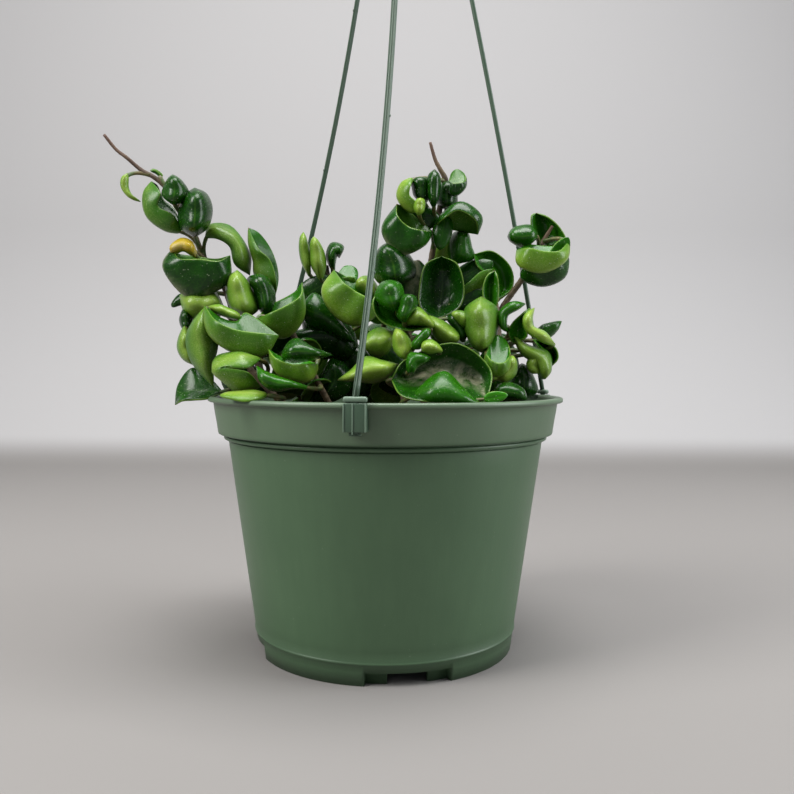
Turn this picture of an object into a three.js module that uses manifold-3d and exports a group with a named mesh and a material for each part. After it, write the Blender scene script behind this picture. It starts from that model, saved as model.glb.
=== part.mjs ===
// A curly-leaved wax plant in a round hanging nursery pot with a three-armed hanger.
// Millimetres, +Z up. The origin is on the pot's axis, on the surface that the pot stands on.
// The front of the plant is towards -Y, and an azimuth turns from there towards +X.
import * as THREE from 'three';
import { mergeVertices } from 'three/addons/utils/BufferGeometryUtils.js';
import Module from 'manifold-3d';

const wasm = await Module();
wasm.setup();

// Pot
const POT_HEIGHT = 110.2;
const LIP_RADIUS = 78;
const LIP_THICK = 2;
const BAND_TOP_RADIUS = 75.7;
const BAND_FOOT_RADIUS = 73.6;
const BAND_FOOT_Z = 94.6;
const STEP_RADIUS = 71;
const STEP_Z = 92.4;
const WALL_TOP_RADIUS = 69.2;
const FOOT_RADIUS = 56.4;
const WALL = 1.5;
const FLOOR_UNDER_Z = 5.5;
const FLOOR_TOP_Z = 7.2;
const CENTRE_FOOT_RADIUS = 9;
const POT_SIDES = 36;

// Drain notches in the foot, one at each quarter
const NOTCH_AZIMUTHS = [10, 100, 190, 280];
const NOTCH_WIDTH = 35;
const NOTCH_GAP = 17;
const NOTCH_DEPTH = 3.2;
const TAB_THICK = 1.6;
const CHEEK_DEEP = 2.4;
const DRAIN_HOLE_RADIUS = 4;
const DRAIN_HOLE_OUT = 41;

// Pockets on the rim that the arms of the hanger drop into
const ARM_AZIMUTHS = { front: -7.5, right: 108, left: -132 };
const POCKET_OUT = 78.9;
const POCKET_WIDTH = 8.4;
const POCKET_REACH = 1.6;
const POCKET_FOOT_Z = 100;
const POCKET_RIB = 1;
const SLOT_WIDTH = 3.2;
const SLOT_DEEP = 2;

// Hanger
const GAP = 0.3;
const ARM_WIDTH = 2.5;
const ARM_THICK = 1.8;
const TONGUE_WIDTH = 2.6;
const TONGUE_THICK = 1.4;
const TONGUE_END_Z = 98.6;
const BARB_WIDTH = 4.4;
const BAR_WIDTH = 8.8;
const BAR_DEEP = 2.4;
const BAR_HEIGHT = 2.1;
const BAR_FOOT_Z = POT_HEIGHT + GAP;
const HUB = [5, 0, 412];
const HUB_RADIUS = 7;
const HUB_HALF_HEIGHT = 4;
const HUB_SLOT_DEPTH = 3.4;
const ARM_BOWS = { front: 11.5, right: 5.4, left: 15.6 };
const HOOK_RADIUS = 13;
const HOOK_WIDTH = 5;
const HOOK_THICK = 3.6;
const HOOK_NECK = 12;

// Soil
const SOIL_TOP_Z = 98;
const SOIL_MOUND = 1.6;
// Half the sides of the pot, so each corner of the soil points to a corner of the wall.
const SOIL_SIDES = 18;
const STEM_HOLE_DEPTH = 12;
const COLLAR_Z = SOIL_TOP_Z + SOIL_MOUND + 2.4;

// Stems, petioles and leaves
const STEM_RADIUS = 1.3;
const STEM_SIDES = 6;
const PETIOLE_RADIUS = 0.95;
const PETIOLE_SIDES = 3;
const LEAF_THICK = 1.7;
const LEAF_WAVE = 0.08;
const SMALL_HALF = 7.4;
const CLEARANCE = 0.45;

// The plant's front is laid out as it lines up, seen from this point, on the plane y = 0.
const EYE = new THREE.Vector3(2.4, -362.3, 123.1);

// Shapes finer than this are smoothed away, or than a share of it where a body would touch itself.
const FINEST = 0.17;
const FINER_SHARES = [1, 0.85, 0.6, 0.3, 0.05];
const WELD = 1e-3;

const rad = THREE.MathUtils.degToRad;

// A point that lines up with (x, z) on the middle plane, but lies this far behind it.
function seat(x, z, back) {
  const reach = (back - EYE.y) / -EYE.y;
  return new THREE.Vector3(EYE.x + (x - EYE.x) * reach, back, EYE.z + (z - EYE.z) * reach);
}

// A smooth curve through the points.
function smooth(points) {
  return new THREE.CatmullRomCurve3(points, false, 'catmullrom', 0.5);
}

// A closed geometry as a solid for joining and cutting.
function solidOf(geometry) {
  const plain = geometry.clone();
  plain.deleteAttribute('normal');
  plain.deleteAttribute('uv');
  const merged = mergeVertices(plain, WELD);
  const index = merged.index.array;
  const kept = [];
  for (let i = 0; i < index.length; i += 3) {
    const [a, b, c] = [index[i], index[i + 1], index[i + 2]];
    if (a !== b && b !== c && c !== a) kept.push(a, b, c);
  }
  const mesh = new wasm.Mesh({
    numProp: 3,
    vertProperties: new Float32Array(merged.attributes.position.array),
    triVerts: new Uint32Array(kept),
  });
  return new wasm.Manifold(mesh);
}

function geometryOf(solid) {
  const mesh = solid.getMesh();
  const geometry = new THREE.BufferGeometry();
  geometry.setAttribute('position', new THREE.BufferAttribute(mesh.vertProperties, 3));
  geometry.setIndex(new THREE.BufferAttribute(mesh.triVerts, 1));
  return geometry;
}

function joined(solids) {
  return solids.reduce((whole, solid) => whole.add(solid));
}

function largest(solid) {
  return solid.decompose().reduce((best, body) => (body.volume() > best.volume() ? body : best));
}

// Whether a solid's faces meet four at an edge somewhere, as where it touches itself.
function touchesItself(solid) {
  const index = mergeVertices(geometryOf(solid), WELD).index.array;
  const met = new Map();
  for (let i = 0; i < index.length; i += 3) {
    for (let k = 0; k < 3; k += 1) {
      const ends = [index[i + k], index[i + ((k + 1) % 3)]];
      const edge = `${Math.min(...ends)} ${Math.max(...ends)}`;
      met.set(edge, (met.get(edge) ?? 0) + 1);
    }
  }
  return [...met.values()].some((count) => count !== 2);
}

// The main body of a solid, without loose scraps, sealed hollows and needlessly small faces.
function mainBody(solid) {
  const body = largest(solid).asOriginal();
  const smoothed = (share) => largest(solidOf(geometryOf(body.simplify(FINEST * share))));
  const share = FINER_SHARES.find((candidate) => !touchesItself(smoothed(candidate)));
  return smoothed(share ?? FINER_SHARES[0]);
}

// A profile of [radius, z] turned round the Z axis.
function turned(profile, sides) {
  const points = profile.map(([radius, z]) => new THREE.Vector2(radius, z));
  return solidOf(new THREE.LatheGeometry(points, sides).rotateX(Math.PI / 2));
}

// A block at the front of the pot, turned to its azimuth: sizes run across, outwards and up.
function block(size, out, z, azimuth, across = 0) {
  const box = new THREE.BoxGeometry(...size);
  return solidOf(box.translate(across, -out, z).rotateZ(rad(azimuth)));
}

function upright(radius, height, x, y, z, sides) {
  const post = new THREE.CylinderGeometry(radius, radius, height, sides).rotateX(Math.PI / 2);
  return solidOf(post.translate(x, y, z));
}

// A section carried along a path, its first axis turned towards the given direction.
function swept(path, sectionPoints, steps, widthWay) {
  const frames = path.computeFrenetFrames(steps, false);
  const turn = Math.atan2(widthWay.dot(frames.binormals[0]), widthWay.dot(frames.normals[0]));
  const points = sectionPoints.map((p) => p.clone().rotateAround(new THREE.Vector2(), turn));
  const shape = new THREE.Shape(points);
  return solidOf(new THREE.ExtrudeGeometry(shape, { steps, extrudePath: path, bevelEnabled: false }));
}

function ovalSection(width, thick, sides) {
  const points = [];
  for (let i = 0; i < sides; i += 1) {
    const angle = ((i + 0.5) / sides) * Math.PI * 2;
    points.push(new THREE.Vector2((Math.cos(angle) * width) / 2, (Math.sin(angle) * thick) / 2));
  }
  return points;
}

// Pot: one moulding, with the rim band, the foot with its drain notches and the three pockets.
function potSolid() {
  const wallInner = WALL_TOP_RADIUS - WALL;
  const slope = (WALL_TOP_RADIUS - FOOT_RADIUS) / (STEP_Z - 0.9);
  const shell = turned([
    [0, FLOOR_UNDER_Z],
    [FOOT_RADIUS - WALL, FLOOR_UNDER_Z],
    [FOOT_RADIUS - WALL, 0],
    [FOOT_RADIUS, 0],
    [WALL_TOP_RADIUS, STEP_Z - 0.9],
    [STEP_RADIUS, STEP_Z],
    [STEP_RADIUS + 0.3, BAND_FOOT_Z - 0.7],
    [BAND_FOOT_RADIUS - 0.6, BAND_FOOT_Z - 0.4],
    [BAND_FOOT_RADIUS, BAND_FOOT_Z + 0.4],
    [BAND_TOP_RADIUS, POT_HEIGHT - LIP_THICK],
    [LIP_RADIUS, POT_HEIGHT - LIP_THICK],
    [LIP_RADIUS, POT_HEIGHT - 0.4],
    [LIP_RADIUS - 0.4, POT_HEIGHT],
    [BAND_TOP_RADIUS - WALL, POT_HEIGHT],
    [BAND_FOOT_RADIUS - WALL, BAND_FOOT_Z + 1.2],
    [wallInner, STEP_Z],
    [FOOT_RADIUS + slope * FLOOR_TOP_Z - WALL, FLOOR_TOP_Z],
    [0, FLOOR_TOP_Z],
  ], POT_SIDES);
  const centreFoot = upright(CENTRE_FOOT_RADIUS, FLOOR_UNDER_Z + 1, 0, 0, (FLOOR_UNDER_Z + 1) / 2, 24);
  let pot = shell.add(centreFoot);
  for (const azimuth of NOTCH_AZIMUTHS) pot = notched(pot, azimuth);
  for (const azimuth of Object.values(ARM_AZIMUTHS)) pot = pocketed(pot, azimuth);
  return mainBody(pot);
}

// The foot steps inwards at a notch, and the middle of the step is open.
function notched(pot, azimuth) {
  const cutDeep = 12;
  const stepOut = FOOT_RADIUS - NOTCH_DEPTH;
  const cut = block([NOTCH_WIDTH, cutDeep, FLOOR_UNDER_Z * 2], stepOut + cutDeep / 2, 0, azimuth);
  const tabWidth = (NOTCH_WIDTH - NOTCH_GAP) / 2 + TAB_THICK;
  const tabAcross = NOTCH_WIDTH / 2 + TAB_THICK - tabWidth / 2;
  const tabHigh = FLOOR_UNDER_Z + 0.8;
  const hole = upright(DRAIN_HOLE_RADIUS, 8, 0, -DRAIN_HOLE_OUT, FLOOR_UNDER_Z, 12);
  let result = pot.subtract(cut);
  for (const side of [-1, 1]) {
    const tabSize = [tabWidth, TAB_THICK, tabHigh];
    const tab = block(tabSize, stepOut - TAB_THICK / 2, tabHigh / 2, azimuth, side * tabAcross);
    const cheekAcross = side * (NOTCH_WIDTH / 2 + TAB_THICK / 2);
    const cheekSize = [TAB_THICK, CHEEK_DEEP, tabHigh];
    const cheek = block(cheekSize, stepOut - CHEEK_DEEP / 2, tabHigh / 2, azimuth, cheekAcross);
    result = result.add(tab).add(cheek);
  }
  return result.subtract(hole.rotate([0, 0, azimuth]));
}

function pocketed(pot, azimuth) {
  const high = POT_HEIGHT - POCKET_FOOT_Z;
  const z = POCKET_FOOT_Z + high / 2;
  const inner = BAND_FOOT_RADIUS + 0.4;
  const outer = POCKET_OUT + POCKET_REACH;
  const plate = block([POCKET_WIDTH, outer - inner, high], (outer + inner) / 2, z, azimuth);
  let result = pot.add(plate);
  for (const side of [-1, 1]) {
    const across = side * (POCKET_WIDTH / 2 - POCKET_RIB / 2);
    result = result.add(block([POCKET_RIB, 2, high], outer - 0.3, z, azimuth, across));
  }
  const slot = block([SLOT_WIDTH, SLOT_DEEP, high * 2], POCKET_OUT, z, azimuth);
  return result.subtract(slot);
}

// The long strand of one arm, from its cross bar on the rim to the hub.
function strandSolid(azimuth, bow, extra = 0) {
  const widthWay = new THREE.Vector3(1, 0, 0).applyAxisAngle(new THREE.Vector3(0, 0, 1), rad(azimuth));
  const outWay = new THREE.Vector3(0, -1, 0).applyAxisAngle(new THREE.Vector3(0, 0, 1), rad(azimuth));
  const start = outWay.clone().multiplyScalar(POCKET_OUT).setZ(BAR_FOOT_Z + BAR_HEIGHT / 2);
  const hubWay = outWay.clone().multiplyScalar(HUB_RADIUS - HUB_SLOT_DEPTH + GAP);
  const end = new THREE.Vector3(...HUB).add(hubWay);
  const middle = start.clone().lerp(end, 0.5);
  middle.x += bow;
  const path = new THREE.QuadraticBezierCurve3(start, middle, end);
  const section = ovalSection(ARM_WIDTH + 2 * extra, ARM_THICK + 2 * extra, 8);
  return swept(path, section, 8, widthWay);
}

// One arm: the tongue in its pocket, the cross bar on the rim and the strand.
function armSolid(azimuth, bow) {
  const strand = strandSolid(azimuth, bow);
  const bar = block([BAR_WIDTH, BAR_DEEP, BAR_HEIGHT], POCKET_OUT, BAR_FOOT_Z + BAR_HEIGHT / 2, azimuth);
  const tongueHigh = BAR_FOOT_Z + 1 - TONGUE_END_Z;
  const tongueSize = [TONGUE_WIDTH, TONGUE_THICK, tongueHigh];
  const tongue = block(tongueSize, POCKET_OUT, TONGUE_END_Z + tongueHigh / 2, azimuth);
  const barb = block([BARB_WIDTH, TONGUE_THICK, 1], POCKET_OUT, TONGUE_END_Z + 0.5, azimuth);
  return mainBody(joined([strand, bar, tongue, barb]));
}

// The hub holds the arms' ends in three slots and carries the round hook.
function hookSolid() {
  const [x, y, z] = HUB;
  let hub = upright(HUB_RADIUS, HUB_HALF_HEIGHT * 2, x, y, z, 16);
  for (const azimuth of Object.values(ARM_AZIMUTHS)) {
    const slotSize = [ARM_WIDTH + 2 * GAP, HUB_RADIUS, HUB_HALF_HEIGHT * 2 - 1];
    const slotOut = HUB_RADIUS - HUB_SLOT_DEPTH + HUB_RADIUS / 2 - ARM_THICK / 2 - GAP;
    const slot = block(slotSize, slotOut, -2, azimuth).translate([x, y, z]);
    hub = hub.subtract(slot);
  }
  const neckTop = z + HUB_HALF_HEIGHT + HOOK_NECK;
  const points = [new THREE.Vector3(x, y, z + HUB_HALF_HEIGHT - 1), new THREE.Vector3(x, y, neckTop)];
  for (let angle = 20; angle <= 200; angle += 20) {
    const out = HOOK_RADIUS * (1 - Math.cos(rad(angle)));
    points.push(new THREE.Vector3(x - out, y, neckTop + HOOK_RADIUS * Math.sin(rad(angle))));
  }
  const path = smooth(points);
  const hook = swept(path, ovalSection(HOOK_WIDTH, HOOK_THICK, 8), 14, new THREE.Vector3(0, 1, 0));
  return mainBody(hub.add(hook));
}

function soilSolid(roots) {
  const slope = (WALL_TOP_RADIUS - FOOT_RADIUS) / (STEP_Z - 0.9);
  const innerAt = (z) => FOOT_RADIUS + slope * z - WALL - GAP;
  const soil = turned([
    [0, FLOOR_TOP_Z + GAP],
    [innerAt(FLOOR_TOP_Z), FLOOR_TOP_Z + GAP],
    [innerAt(STEP_Z) - 0.2, STEP_Z - 1],
    [BAND_FOOT_RADIUS - WALL - 3.5, SOIL_TOP_Z],
    [40, SOIL_TOP_Z + SOIL_MOUND],
    [0, SOIL_TOP_Z + SOIL_MOUND],
  ], SOIL_SIDES);
  const holeLow = SOIL_TOP_Z - STEM_HOLE_DEPTH;
  const holeHigh = 24;
  const cut = roots.map(([x, y]) =>
    upright(STEM_RADIUS + GAP + 0.15, holeHigh, x, y, holeLow + holeHigh / 2, 8));
  return mainBody(cut.reduce((whole, hole) => whole.subtract(hole), soil));
}

// Half-width of a leaf along its length, from 0 at the base through 1 to 0 at the tip.
function outlineAt(u) {
  const rise = 0.42;
  const fall = 0.62;
  const widest = rise / (rise + fall);
  return (u ** rise * (1 - u) ** fall) / (widest ** rise * (1 - widest) ** fall);
}

// The three directions of a leaf's middle: along the midrib, out of the upper side, and across.
// aim turns the midrib in the picture plane, lean tips it forwards, and face rolls the upper
// side from the front towards the left of the midrib's way.
function leafFrame(aim, lean, face) {
  const [a, l, f] = [rad(aim), rad(lean), rad(face)];
  const along = new THREE.Vector3(Math.cos(l) * Math.cos(a), -Math.sin(l), Math.cos(l) * Math.sin(a));
  const front = new THREE.Vector3(0, -1, 0);
  const flat = front.addScaledVector(along, -front.dot(along)).normalize();
  const side = flat.clone().cross(along);
  const upper = flat.multiplyScalar(Math.cos(f)).addScaledVector(side, Math.sin(f));
  return { along, upper, across: upper.clone().cross(along) };
}

// The middle surface of a leaf as a function of u along the midrib and v across it.
// The midrib turns by curl towards the upper side and by bend sideways, with tip added near
// its end. Across it, the blade turns by cup from edge to edge, and its rim by lip more.
function leafSurface(leaf) {
  const { middle, along, upper, across, long, half } = leaf;
  const { curl, cup, tip, bend, twist, lip, lop, wave, phase } = leaf;
  const steps = 48;
  const turnAt = (u) => rad(curl) * (u - 0.5) + rad(tip) * Math.max(0, (u - 0.55) / 0.45) ** 2;
  const wayAt = (u) => {
    const [c, b] = [turnAt(u), rad(bend) * (u - 0.5)];
    return along.clone().multiplyScalar(Math.cos(c) * Math.cos(b))
      .addScaledVector(across, Math.cos(c) * Math.sin(b))
      .addScaledVector(upper, Math.sin(c));
  };
  const rib = [new THREE.Vector3()];
  for (let i = 0; i < steps; i += 1) {
    rib.push(rib[i].clone().addScaledVector(wayAt((i + 0.5) / steps), long / steps));
  }
  const centre = rib[steps / 2].clone();
  const ribAt = (u) => {
    const place = Math.min(Math.max(u * steps, 0), steps - 1e-9);
    const i = Math.floor(place);
    return rib[i].clone().lerp(rib[i + 1], place - i).sub(centre).add(middle);
  };
  const point = (u, v) => {
    const [c, b] = [turnAt(u), rad(bend) * (u - 0.5)];
    const flatSide = along.clone().multiplyScalar(-Math.sin(b)).addScaledVector(across, Math.cos(b));
    const flatUp = along.clone().multiplyScalar(-Math.sin(c) * Math.cos(b))
      .addScaledVector(across, -Math.sin(c) * Math.sin(b))
      .addScaledVector(upper, Math.cos(c));
    const roll = rad(twist) * (u - 0.5);
    const side = flatSide.clone().multiplyScalar(Math.cos(roll)).addScaledVector(flatUp, Math.sin(roll));
    const up = flatSide.clone().multiplyScalar(-Math.sin(roll)).addScaledVector(flatUp, Math.cos(roll));
    const reach = outlineAt(u);
    const wide = half * (1 + lop * Math.sign(v)) * reach;
    const parts = 12;
    let out = 0;
    let rise = 0;
    for (let k = 0; k < parts; k += 1) {
      const q = ((k + 0.5) / parts) * Math.abs(v);
      const turn = rad(cup / 2) * q * Math.sqrt(reach) + rad(lip) * q ** 4;
      out += (Math.cos(turn) * Math.abs(v) * wide) / parts;
      rise += (Math.sin(turn) * Math.abs(v) * wide) / parts;
    }
    rise += wave * half * reach * v * v * Math.sin(Math.PI * 2.8 * u + phase + (v > 0 ? 0 : 2.2));
    return ribAt(u).addScaledVector(side, Math.sign(v) * out).addScaledVector(up, rise);
  };
  return { point, wayAt, ribAt, long, half };
}

// The middle surface of a leaf drawn by three curves from its base to its tip: its near rim,
// its midrib and its far rim. Across the blade it is the parabola through the three.
function drawnSurface({ base, tip, near, rib, far, back }) {
  const [baseBack, tipBack, nearBack, ribBack, farBack] = back;
  const ends = [seat(...base, baseBack), seat(...tip, tipBack)];
  const [nearCurve, ribCurve, farCurve] = [[near, nearBack], [rib, ribBack], [far, farBack]]
    .map(([points, depth]) => smooth([ends[0], ...points.map((p) => seat(...p, depth)), ends[1]]));
  const point = (u, v) => nearCurve.getPoint(u).multiplyScalar((v * v - v) / 2)
    .addScaledVector(ribCurve.getPoint(u), 1 - v * v)
    .addScaledVector(farCurve.getPoint(u), (v * v + v) / 2);
  const ribAt = (u) => ribCurve.getPoint(u);
  const wayAt = (u) => ribAt(Math.min(u + 0.08, 1)).sub(ribAt(Math.min(u, 0.92))).normalize();
  const half = nearCurve.getPoint(0.5).distanceTo(farCurve.getPoint(0.5)) / 2;
  return { point, wayAt, ribAt, long: ribCurve.getLength(), half };
}

// A leaf as a closed blade, thickest at the midrib, with the same split on both faces.
// A grown leaf reaches twice as far out past its rim, where the blade tapers off.
function leafGeometry({ point, ribAt, half, plain }, extra = 0) {
  const small = plain || half < SMALL_HALF;
  const rows = small ? 4 : 5;
  const columns = small ? 2 : 4;
  const positions = [];
  const number = {};
  const add = (key, p) => {
    number[key] = positions.length / 3;
    positions.push(p.x, p.y, p.z);
  };
  const step = 0.01;
  const placeOf = (row) => 0.5 - 0.5 * Math.cos((Math.PI * row) / rows);
  const pushed = (rim, inside) =>
    rim.clone().addScaledVector(rim.clone().sub(inside).normalize(), 2 * extra);
  for (let i = 0; i <= rows; i += 1) {
    const u = placeOf(i);
    for (let j = 0; j <= columns; j += 1) {
      const v = -1 + (2 * j) / columns;
      if (i === 0 || i === rows) {
        const inside = ribAt(placeOf(i === 0 ? 1 : rows - 1));
        if (j === 0) add(`rim ${i} ${j}`, pushed(ribAt(u), inside));
        continue;
      }
      const p = point(u, v);
      if (j === 0 || j === columns) {
        add(`rim ${i} ${j}`, pushed(p, point(u, v * (1 - 2 / columns))));
        continue;
      }
      const du = point(u + step, v).sub(point(u - step, v));
      const dv = point(u, v + step).sub(point(u, v - step));
      const normal = du.cross(dv).normalize();
      const thick = (LEAF_THICK / 2) * Math.sqrt(1 - v ** 4) + extra;
      add(`top ${i} ${j}`, p.clone().addScaledVector(normal, thick));
      add(`under ${i} ${j}`, p.clone().addScaledVector(normal, -thick));
    }
  }
  const at = (face, i, j) => {
    if (i === 0 || i === rows) return number[`rim ${i} 0`];
    return j === 0 || j === columns ? number[`rim ${i} ${j}`] : number[`${face} ${i} ${j}`];
  };
  const index = [];
  const tri = (a, b, c) => {
    if (a !== b && b !== c && c !== a) index.push(a, b, c);
  };
  for (let i = 0; i < rows; i += 1) {
    for (let j = 0; j < columns; j += 1) {
      const corners = (face) => [[i, j], [i + 1, j], [i + 1, j + 1], [i, j + 1]]
        .map(([row, column]) => at(face, row, column));
      const [a, b, c, d] = corners('top');
      const [e, f, g, h] = corners('under');
      if ((i < rows / 2) === (j < columns / 2)) {
        tri(a, b, d);
        tri(b, c, d);
        tri(e, h, f);
        tri(f, h, g);
      } else {
        tri(a, b, c);
        tri(a, c, d);
        tri(e, g, f);
        tri(e, h, g);
      }
    }
  }
  const geometry = new THREE.BufferGeometry();
  geometry.setAttribute('position', new THREE.Float32BufferAttribute(positions, 3));
  geometry.setIndex(index);
  return geometry;
}

// Seeded draws between 0 and 1.
function draws(seed) {
  let state = seed;
  return () => {
    state = (state * 1664525 + 1013904223) % 4294967296;
    return state / 4294967296;
  };
}

// The leaves that show at the front, laid out by hand.
// A shaped leaf's row gives the middle's x and z as they line up and its depth, then aim, lean,
// face, length, half-width, curl, cup, tip, bend, twist, lip and lop, where lop makes the left
// half wider than the right one.
// A drawn leaf has three curves from its base to its tip, given by points as they line up:
// its near rim, its midrib and its far rim. Then come the depths of its base, its tip and the
// three curves.
const FRONT_STEMS = {
  stem_left_tall: {
    root: [-44, -8],
    path: [[-58, 125, -6], [-66, 140, -2], [-70, 152, 0], [-73, 160, 1], [-77, 166, 2],
      [-81.3, 171.4, 2], [-85.1, 180.5, 2], [-90, 192, 3], [-98.4, 202.8, 3], [-104, 207.2, 2],
      [-107.5, 209, 2], [-110.3, 211, 2], [-115.4, 215.4, 1], [-120, 218.9, 1], [-125.2, 225.3, 0]],
    shaped: [
      [-102, 209, 3, 150, 0, 60, 6, 1.2, 90, 40, 0, 0, 0, 0, 0],
    ],
    drawn: [
      { base: [-91, 183], tip: [-104.4, 205], back: [-2, 0, -8, -3, 5],
        near: [[-94.5, 190], [-101.5, 194], [-100.5, 200]],
        rib: [[-98.5, 184.2], [-106, 190], [-107.4, 198.5]],
        far: [[-94, 192.5], [-99, 197], [-101.5, 203]] },
      { base: [-94.5, 194.8], tip: [-94.9, 208], back: [-6, -6, -6, -13, -6],
        near: [[-99.5, 198.5], [-99.2, 202], [-97.3, 205.5]],
        rib: [[-94.5, 197.5], [-94, 201.5], [-94.5, 205.5]],
        far: [[-89, 197], [-87.9, 200.5], [-90.8, 205]] },
      { base: [-85.3, 180.5], tip: [-85.3, 202.3], back: [-4, -6, -4, -16, -4],
        near: [[-91.7, 184.5], [-92.6, 191.5], [-90, 198.5]],
        rib: [[-85.5, 185], [-85, 191.5], [-85, 198]],
        far: [[-79.5, 184.8], [-77.4, 192.5], [-79.7, 199.3]] },
      { base: [-114.8, 207.9], tip: [-109.2, 195.9], back: [0, 0, 0, -2, 0],
        near: [[-117.4, 206.2], [-117.6, 202.5], [-114.8, 198.7]],
        rib: [[-116.3, 206], [-116.4, 202.2], [-114, 198.5]],
        far: [[-114.7, 205.5], [-114.6, 201.8], [-112.8, 198.2]] },
      { base: [-80.5, 180], tip: [-60.8, 163.5], back: [0, 4, -4, -3, 3],
        near: [[-75, 179.5], [-69.8, 176], [-67.7, 168.5]],
        rib: [[-76.5, 183.8], [-67.8, 179.5], [-63.8, 171]],
        far: [[-78.5, 186], [-69, 185.2], [-61, 173.8]] },
      { base: [-95, 175], tip: [-69.6, 172.5], back: [-12, -10, -20, -14, -4],
        near: [[-92, 170.9], [-83, 170.9], [-75, 170]],
        rib: [[-99, 166.5], [-88, 154.2], [-71.5, 160]],
        far: [[-92, 173], [-84, 172], [-76, 171]] },
      { base: [-84.5, 171.3], tip: [-96, 173.5], back: [-8, -14, -10, -16, -10],
        near: [[-87.5, 172.8], [-90.5, 174.3], [-94, 173]],
        rib: [[-87, 175.5], [-91, 176.8], [-95, 175.5]],
        far: [[-86.3, 178], [-91, 180], [-95.6, 177]] },
      { base: [-50, 152], tip: [-61.5, 184.8], back: [2, 6, -6, 0, 8],
        near: [[-49, 160], [-51.5, 170], [-57, 175.6]],
        rib: [[-57.5, 163], [-58.5, 170], [-60.5, 177]],
        far: [[-48, 163], [-50.5, 173.5], [-56, 181.8]] },
      { base: [-61, 145.5], tip: [-66.5, 166], back: [-12, -12, -12, -21, -12],
        near: [[-68.5, 148], [-71.4, 155], [-70.7, 162]],
        rib: [[-64, 149], [-66, 156], [-67, 162]],
        far: [[-57, 149], [-59.5, 156], [-62.3, 161.5]] },
      { base: [-54, 146], tip: [-57.5, 164.5], back: [-8, -8, -8, -17, -8],
        near: [[-57.8, 150], [-60, 157], [-62, 162]],
        rib: [[-54, 149], [-55, 156], [-57, 161.5]],
        far: [[-50, 149], [-49.8, 156], [-53, 162.5]] },
      { base: [-72, 147], tip: [-92.3, 154.5], back: [-10, -6, -8, -17, -8],
        near: [[-76, 156], [-82, 158], [-88, 157.5]],
        rib: [[-76, 151], [-82, 150.5], [-88, 151.5]],
        far: [[-77, 144], [-84, 142.5], [-90, 147]] },
      { base: [-89.5, 153.5], tip: [-95.8, 149.9], back: [-2, 0, -1, -3, -1],
        near: [[-91.3, 155.3], [-93.3, 154.3], [-95, 152]],
        rib: [[-91, 152.5], [-93, 151.5], [-94.8, 150.4]],
        far: [[-91.2, 150.8], [-93, 150.2], [-94.6, 149.8]] },
      { base: [-50, 110], tip: [-70, 127], back: [0, 0, 0, -6, 0],
        near: [[-54, 118], [-60, 124], [-66, 128]],
        rib: [[-57, 113], [-63, 118], [-68, 123]],
        far: [[-60, 108.5], [-70, 110], [-74, 118]] },
      { base: [-56, 127], tip: [-44, 147], back: [2, 4, 2, -4, 2],
        near: [[-61, 134], [-58, 142], [-50, 147]],
        rib: [[-54, 132], [-50, 139], [-47, 144]],
        far: [[-48, 129], [-42, 136], [-41, 143]] },
    ],
  },
  stem_left_front: {
    root: [-36, -25],
    path: [[-52, 112, -26], [-64, 126, -24], [-74, 140, -20]],
    shaped: [
      [-64, 110.5, -55, 180, 0, 110, 18, 5, 10, 30, 0, 0, 0, 0, 0],
    ],
    drawn: [
      { base: [-80.5, 149.5], tip: [-77.3, 113.7], back: [-24, -24, -24, -33, -26],
        near: [[-87, 142], [-89.6, 134], [-86.5, 124]],
        rib: [[-83, 142], [-82.5, 133], [-81, 123]],
        far: [[-78.5, 141], [-75.2, 133.5], [-77.3, 123]] },
      { base: [-90, 141], tip: [-86, 123.5], back: [-14, -14, -14, -21, -14],
        near: [[-92.6, 136], [-93.3, 131], [-91, 126.5]],
        rib: [[-90, 136], [-90, 131], [-88, 126.5]],
        far: [[-87, 136], [-86, 131], [-85, 127]] },
      { base: [-90.5, 148], tip: [-89, 138.5], back: [-10, -10, -10, -15, -10],
        near: [[-92, 145], [-92.2, 143], [-91.3, 140.5]],
        rib: [[-90, 146], [-89.5, 143], [-89.5, 140.5]],
        far: [[-88, 146], [-86.8, 143], [-88, 140]] },
      { base: [-81, 150], tip: [-48, 137], back: [-28, -38, -44, -38, -26],
        near: [[-76, 143.5], [-67, 139.5], [-56, 138]],
        rib: [[-78.5, 138], [-68, 130], [-56, 128.5]],
        far: [[-74, 145], [-67, 143.3], [-62, 147]] },
      { base: [-79.5, 149.4], tip: [-65, 144.5], back: [-22, -22, -22, -26, -22],
        near: [[-76, 147], [-72, 145.3], [-68, 144.3]],
        rib: [[-75, 148.7], [-71, 147], [-67, 145.5]],
        far: [[-75, 150.5], [-70.5, 149], [-66.5, 147]] },
      { base: [-56, 126], tip: [-56, 114], back: [-44, -46, -54, -50, -40],
        near: [[-62, 122.3], [-72.5, 122.5], [-62, 120.6]],
        rib: [[-66, 127], [-77, 121.5], [-66, 114]],
        far: [[-66, 129.4], [-76.5, 126], [-66, 111]] },
      { base: [-73, 111.5], tip: [-94.6, 105.6], back: [-18, -18, -24, -20, -14],
        near: [[-80, 108.7], [-87, 107.9], [-92, 107.4]],
        rib: [[-79, 111.2], [-85, 112], [-91, 110]],
        far: [[-79, 118], [-86.8, 122.4], [-93, 115]] },
    ],
  },
  stem_left_middle: {
    root: [-21, -20],
    path: [[-30, 115, -22], [-38, 130, -22], [-44, 142, -18]],
    drawn: [
      { base: [-57.5, 144.5], tip: [-37.6, 160.8], back: [-22, -16, -32, -24, -12],
        near: [[-52, 147], [-44.5, 150.5], [-38.3, 155]],
        rib: [[-54.5, 139.5], [-45, 136.8], [-37.5, 145.5]],
        far: [[-53, 150], [-47, 153], [-41, 156.5]] },
      { base: [-38, 150], tip: [-14, 134], back: [-6, -6, -6, -12, -6],
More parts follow.
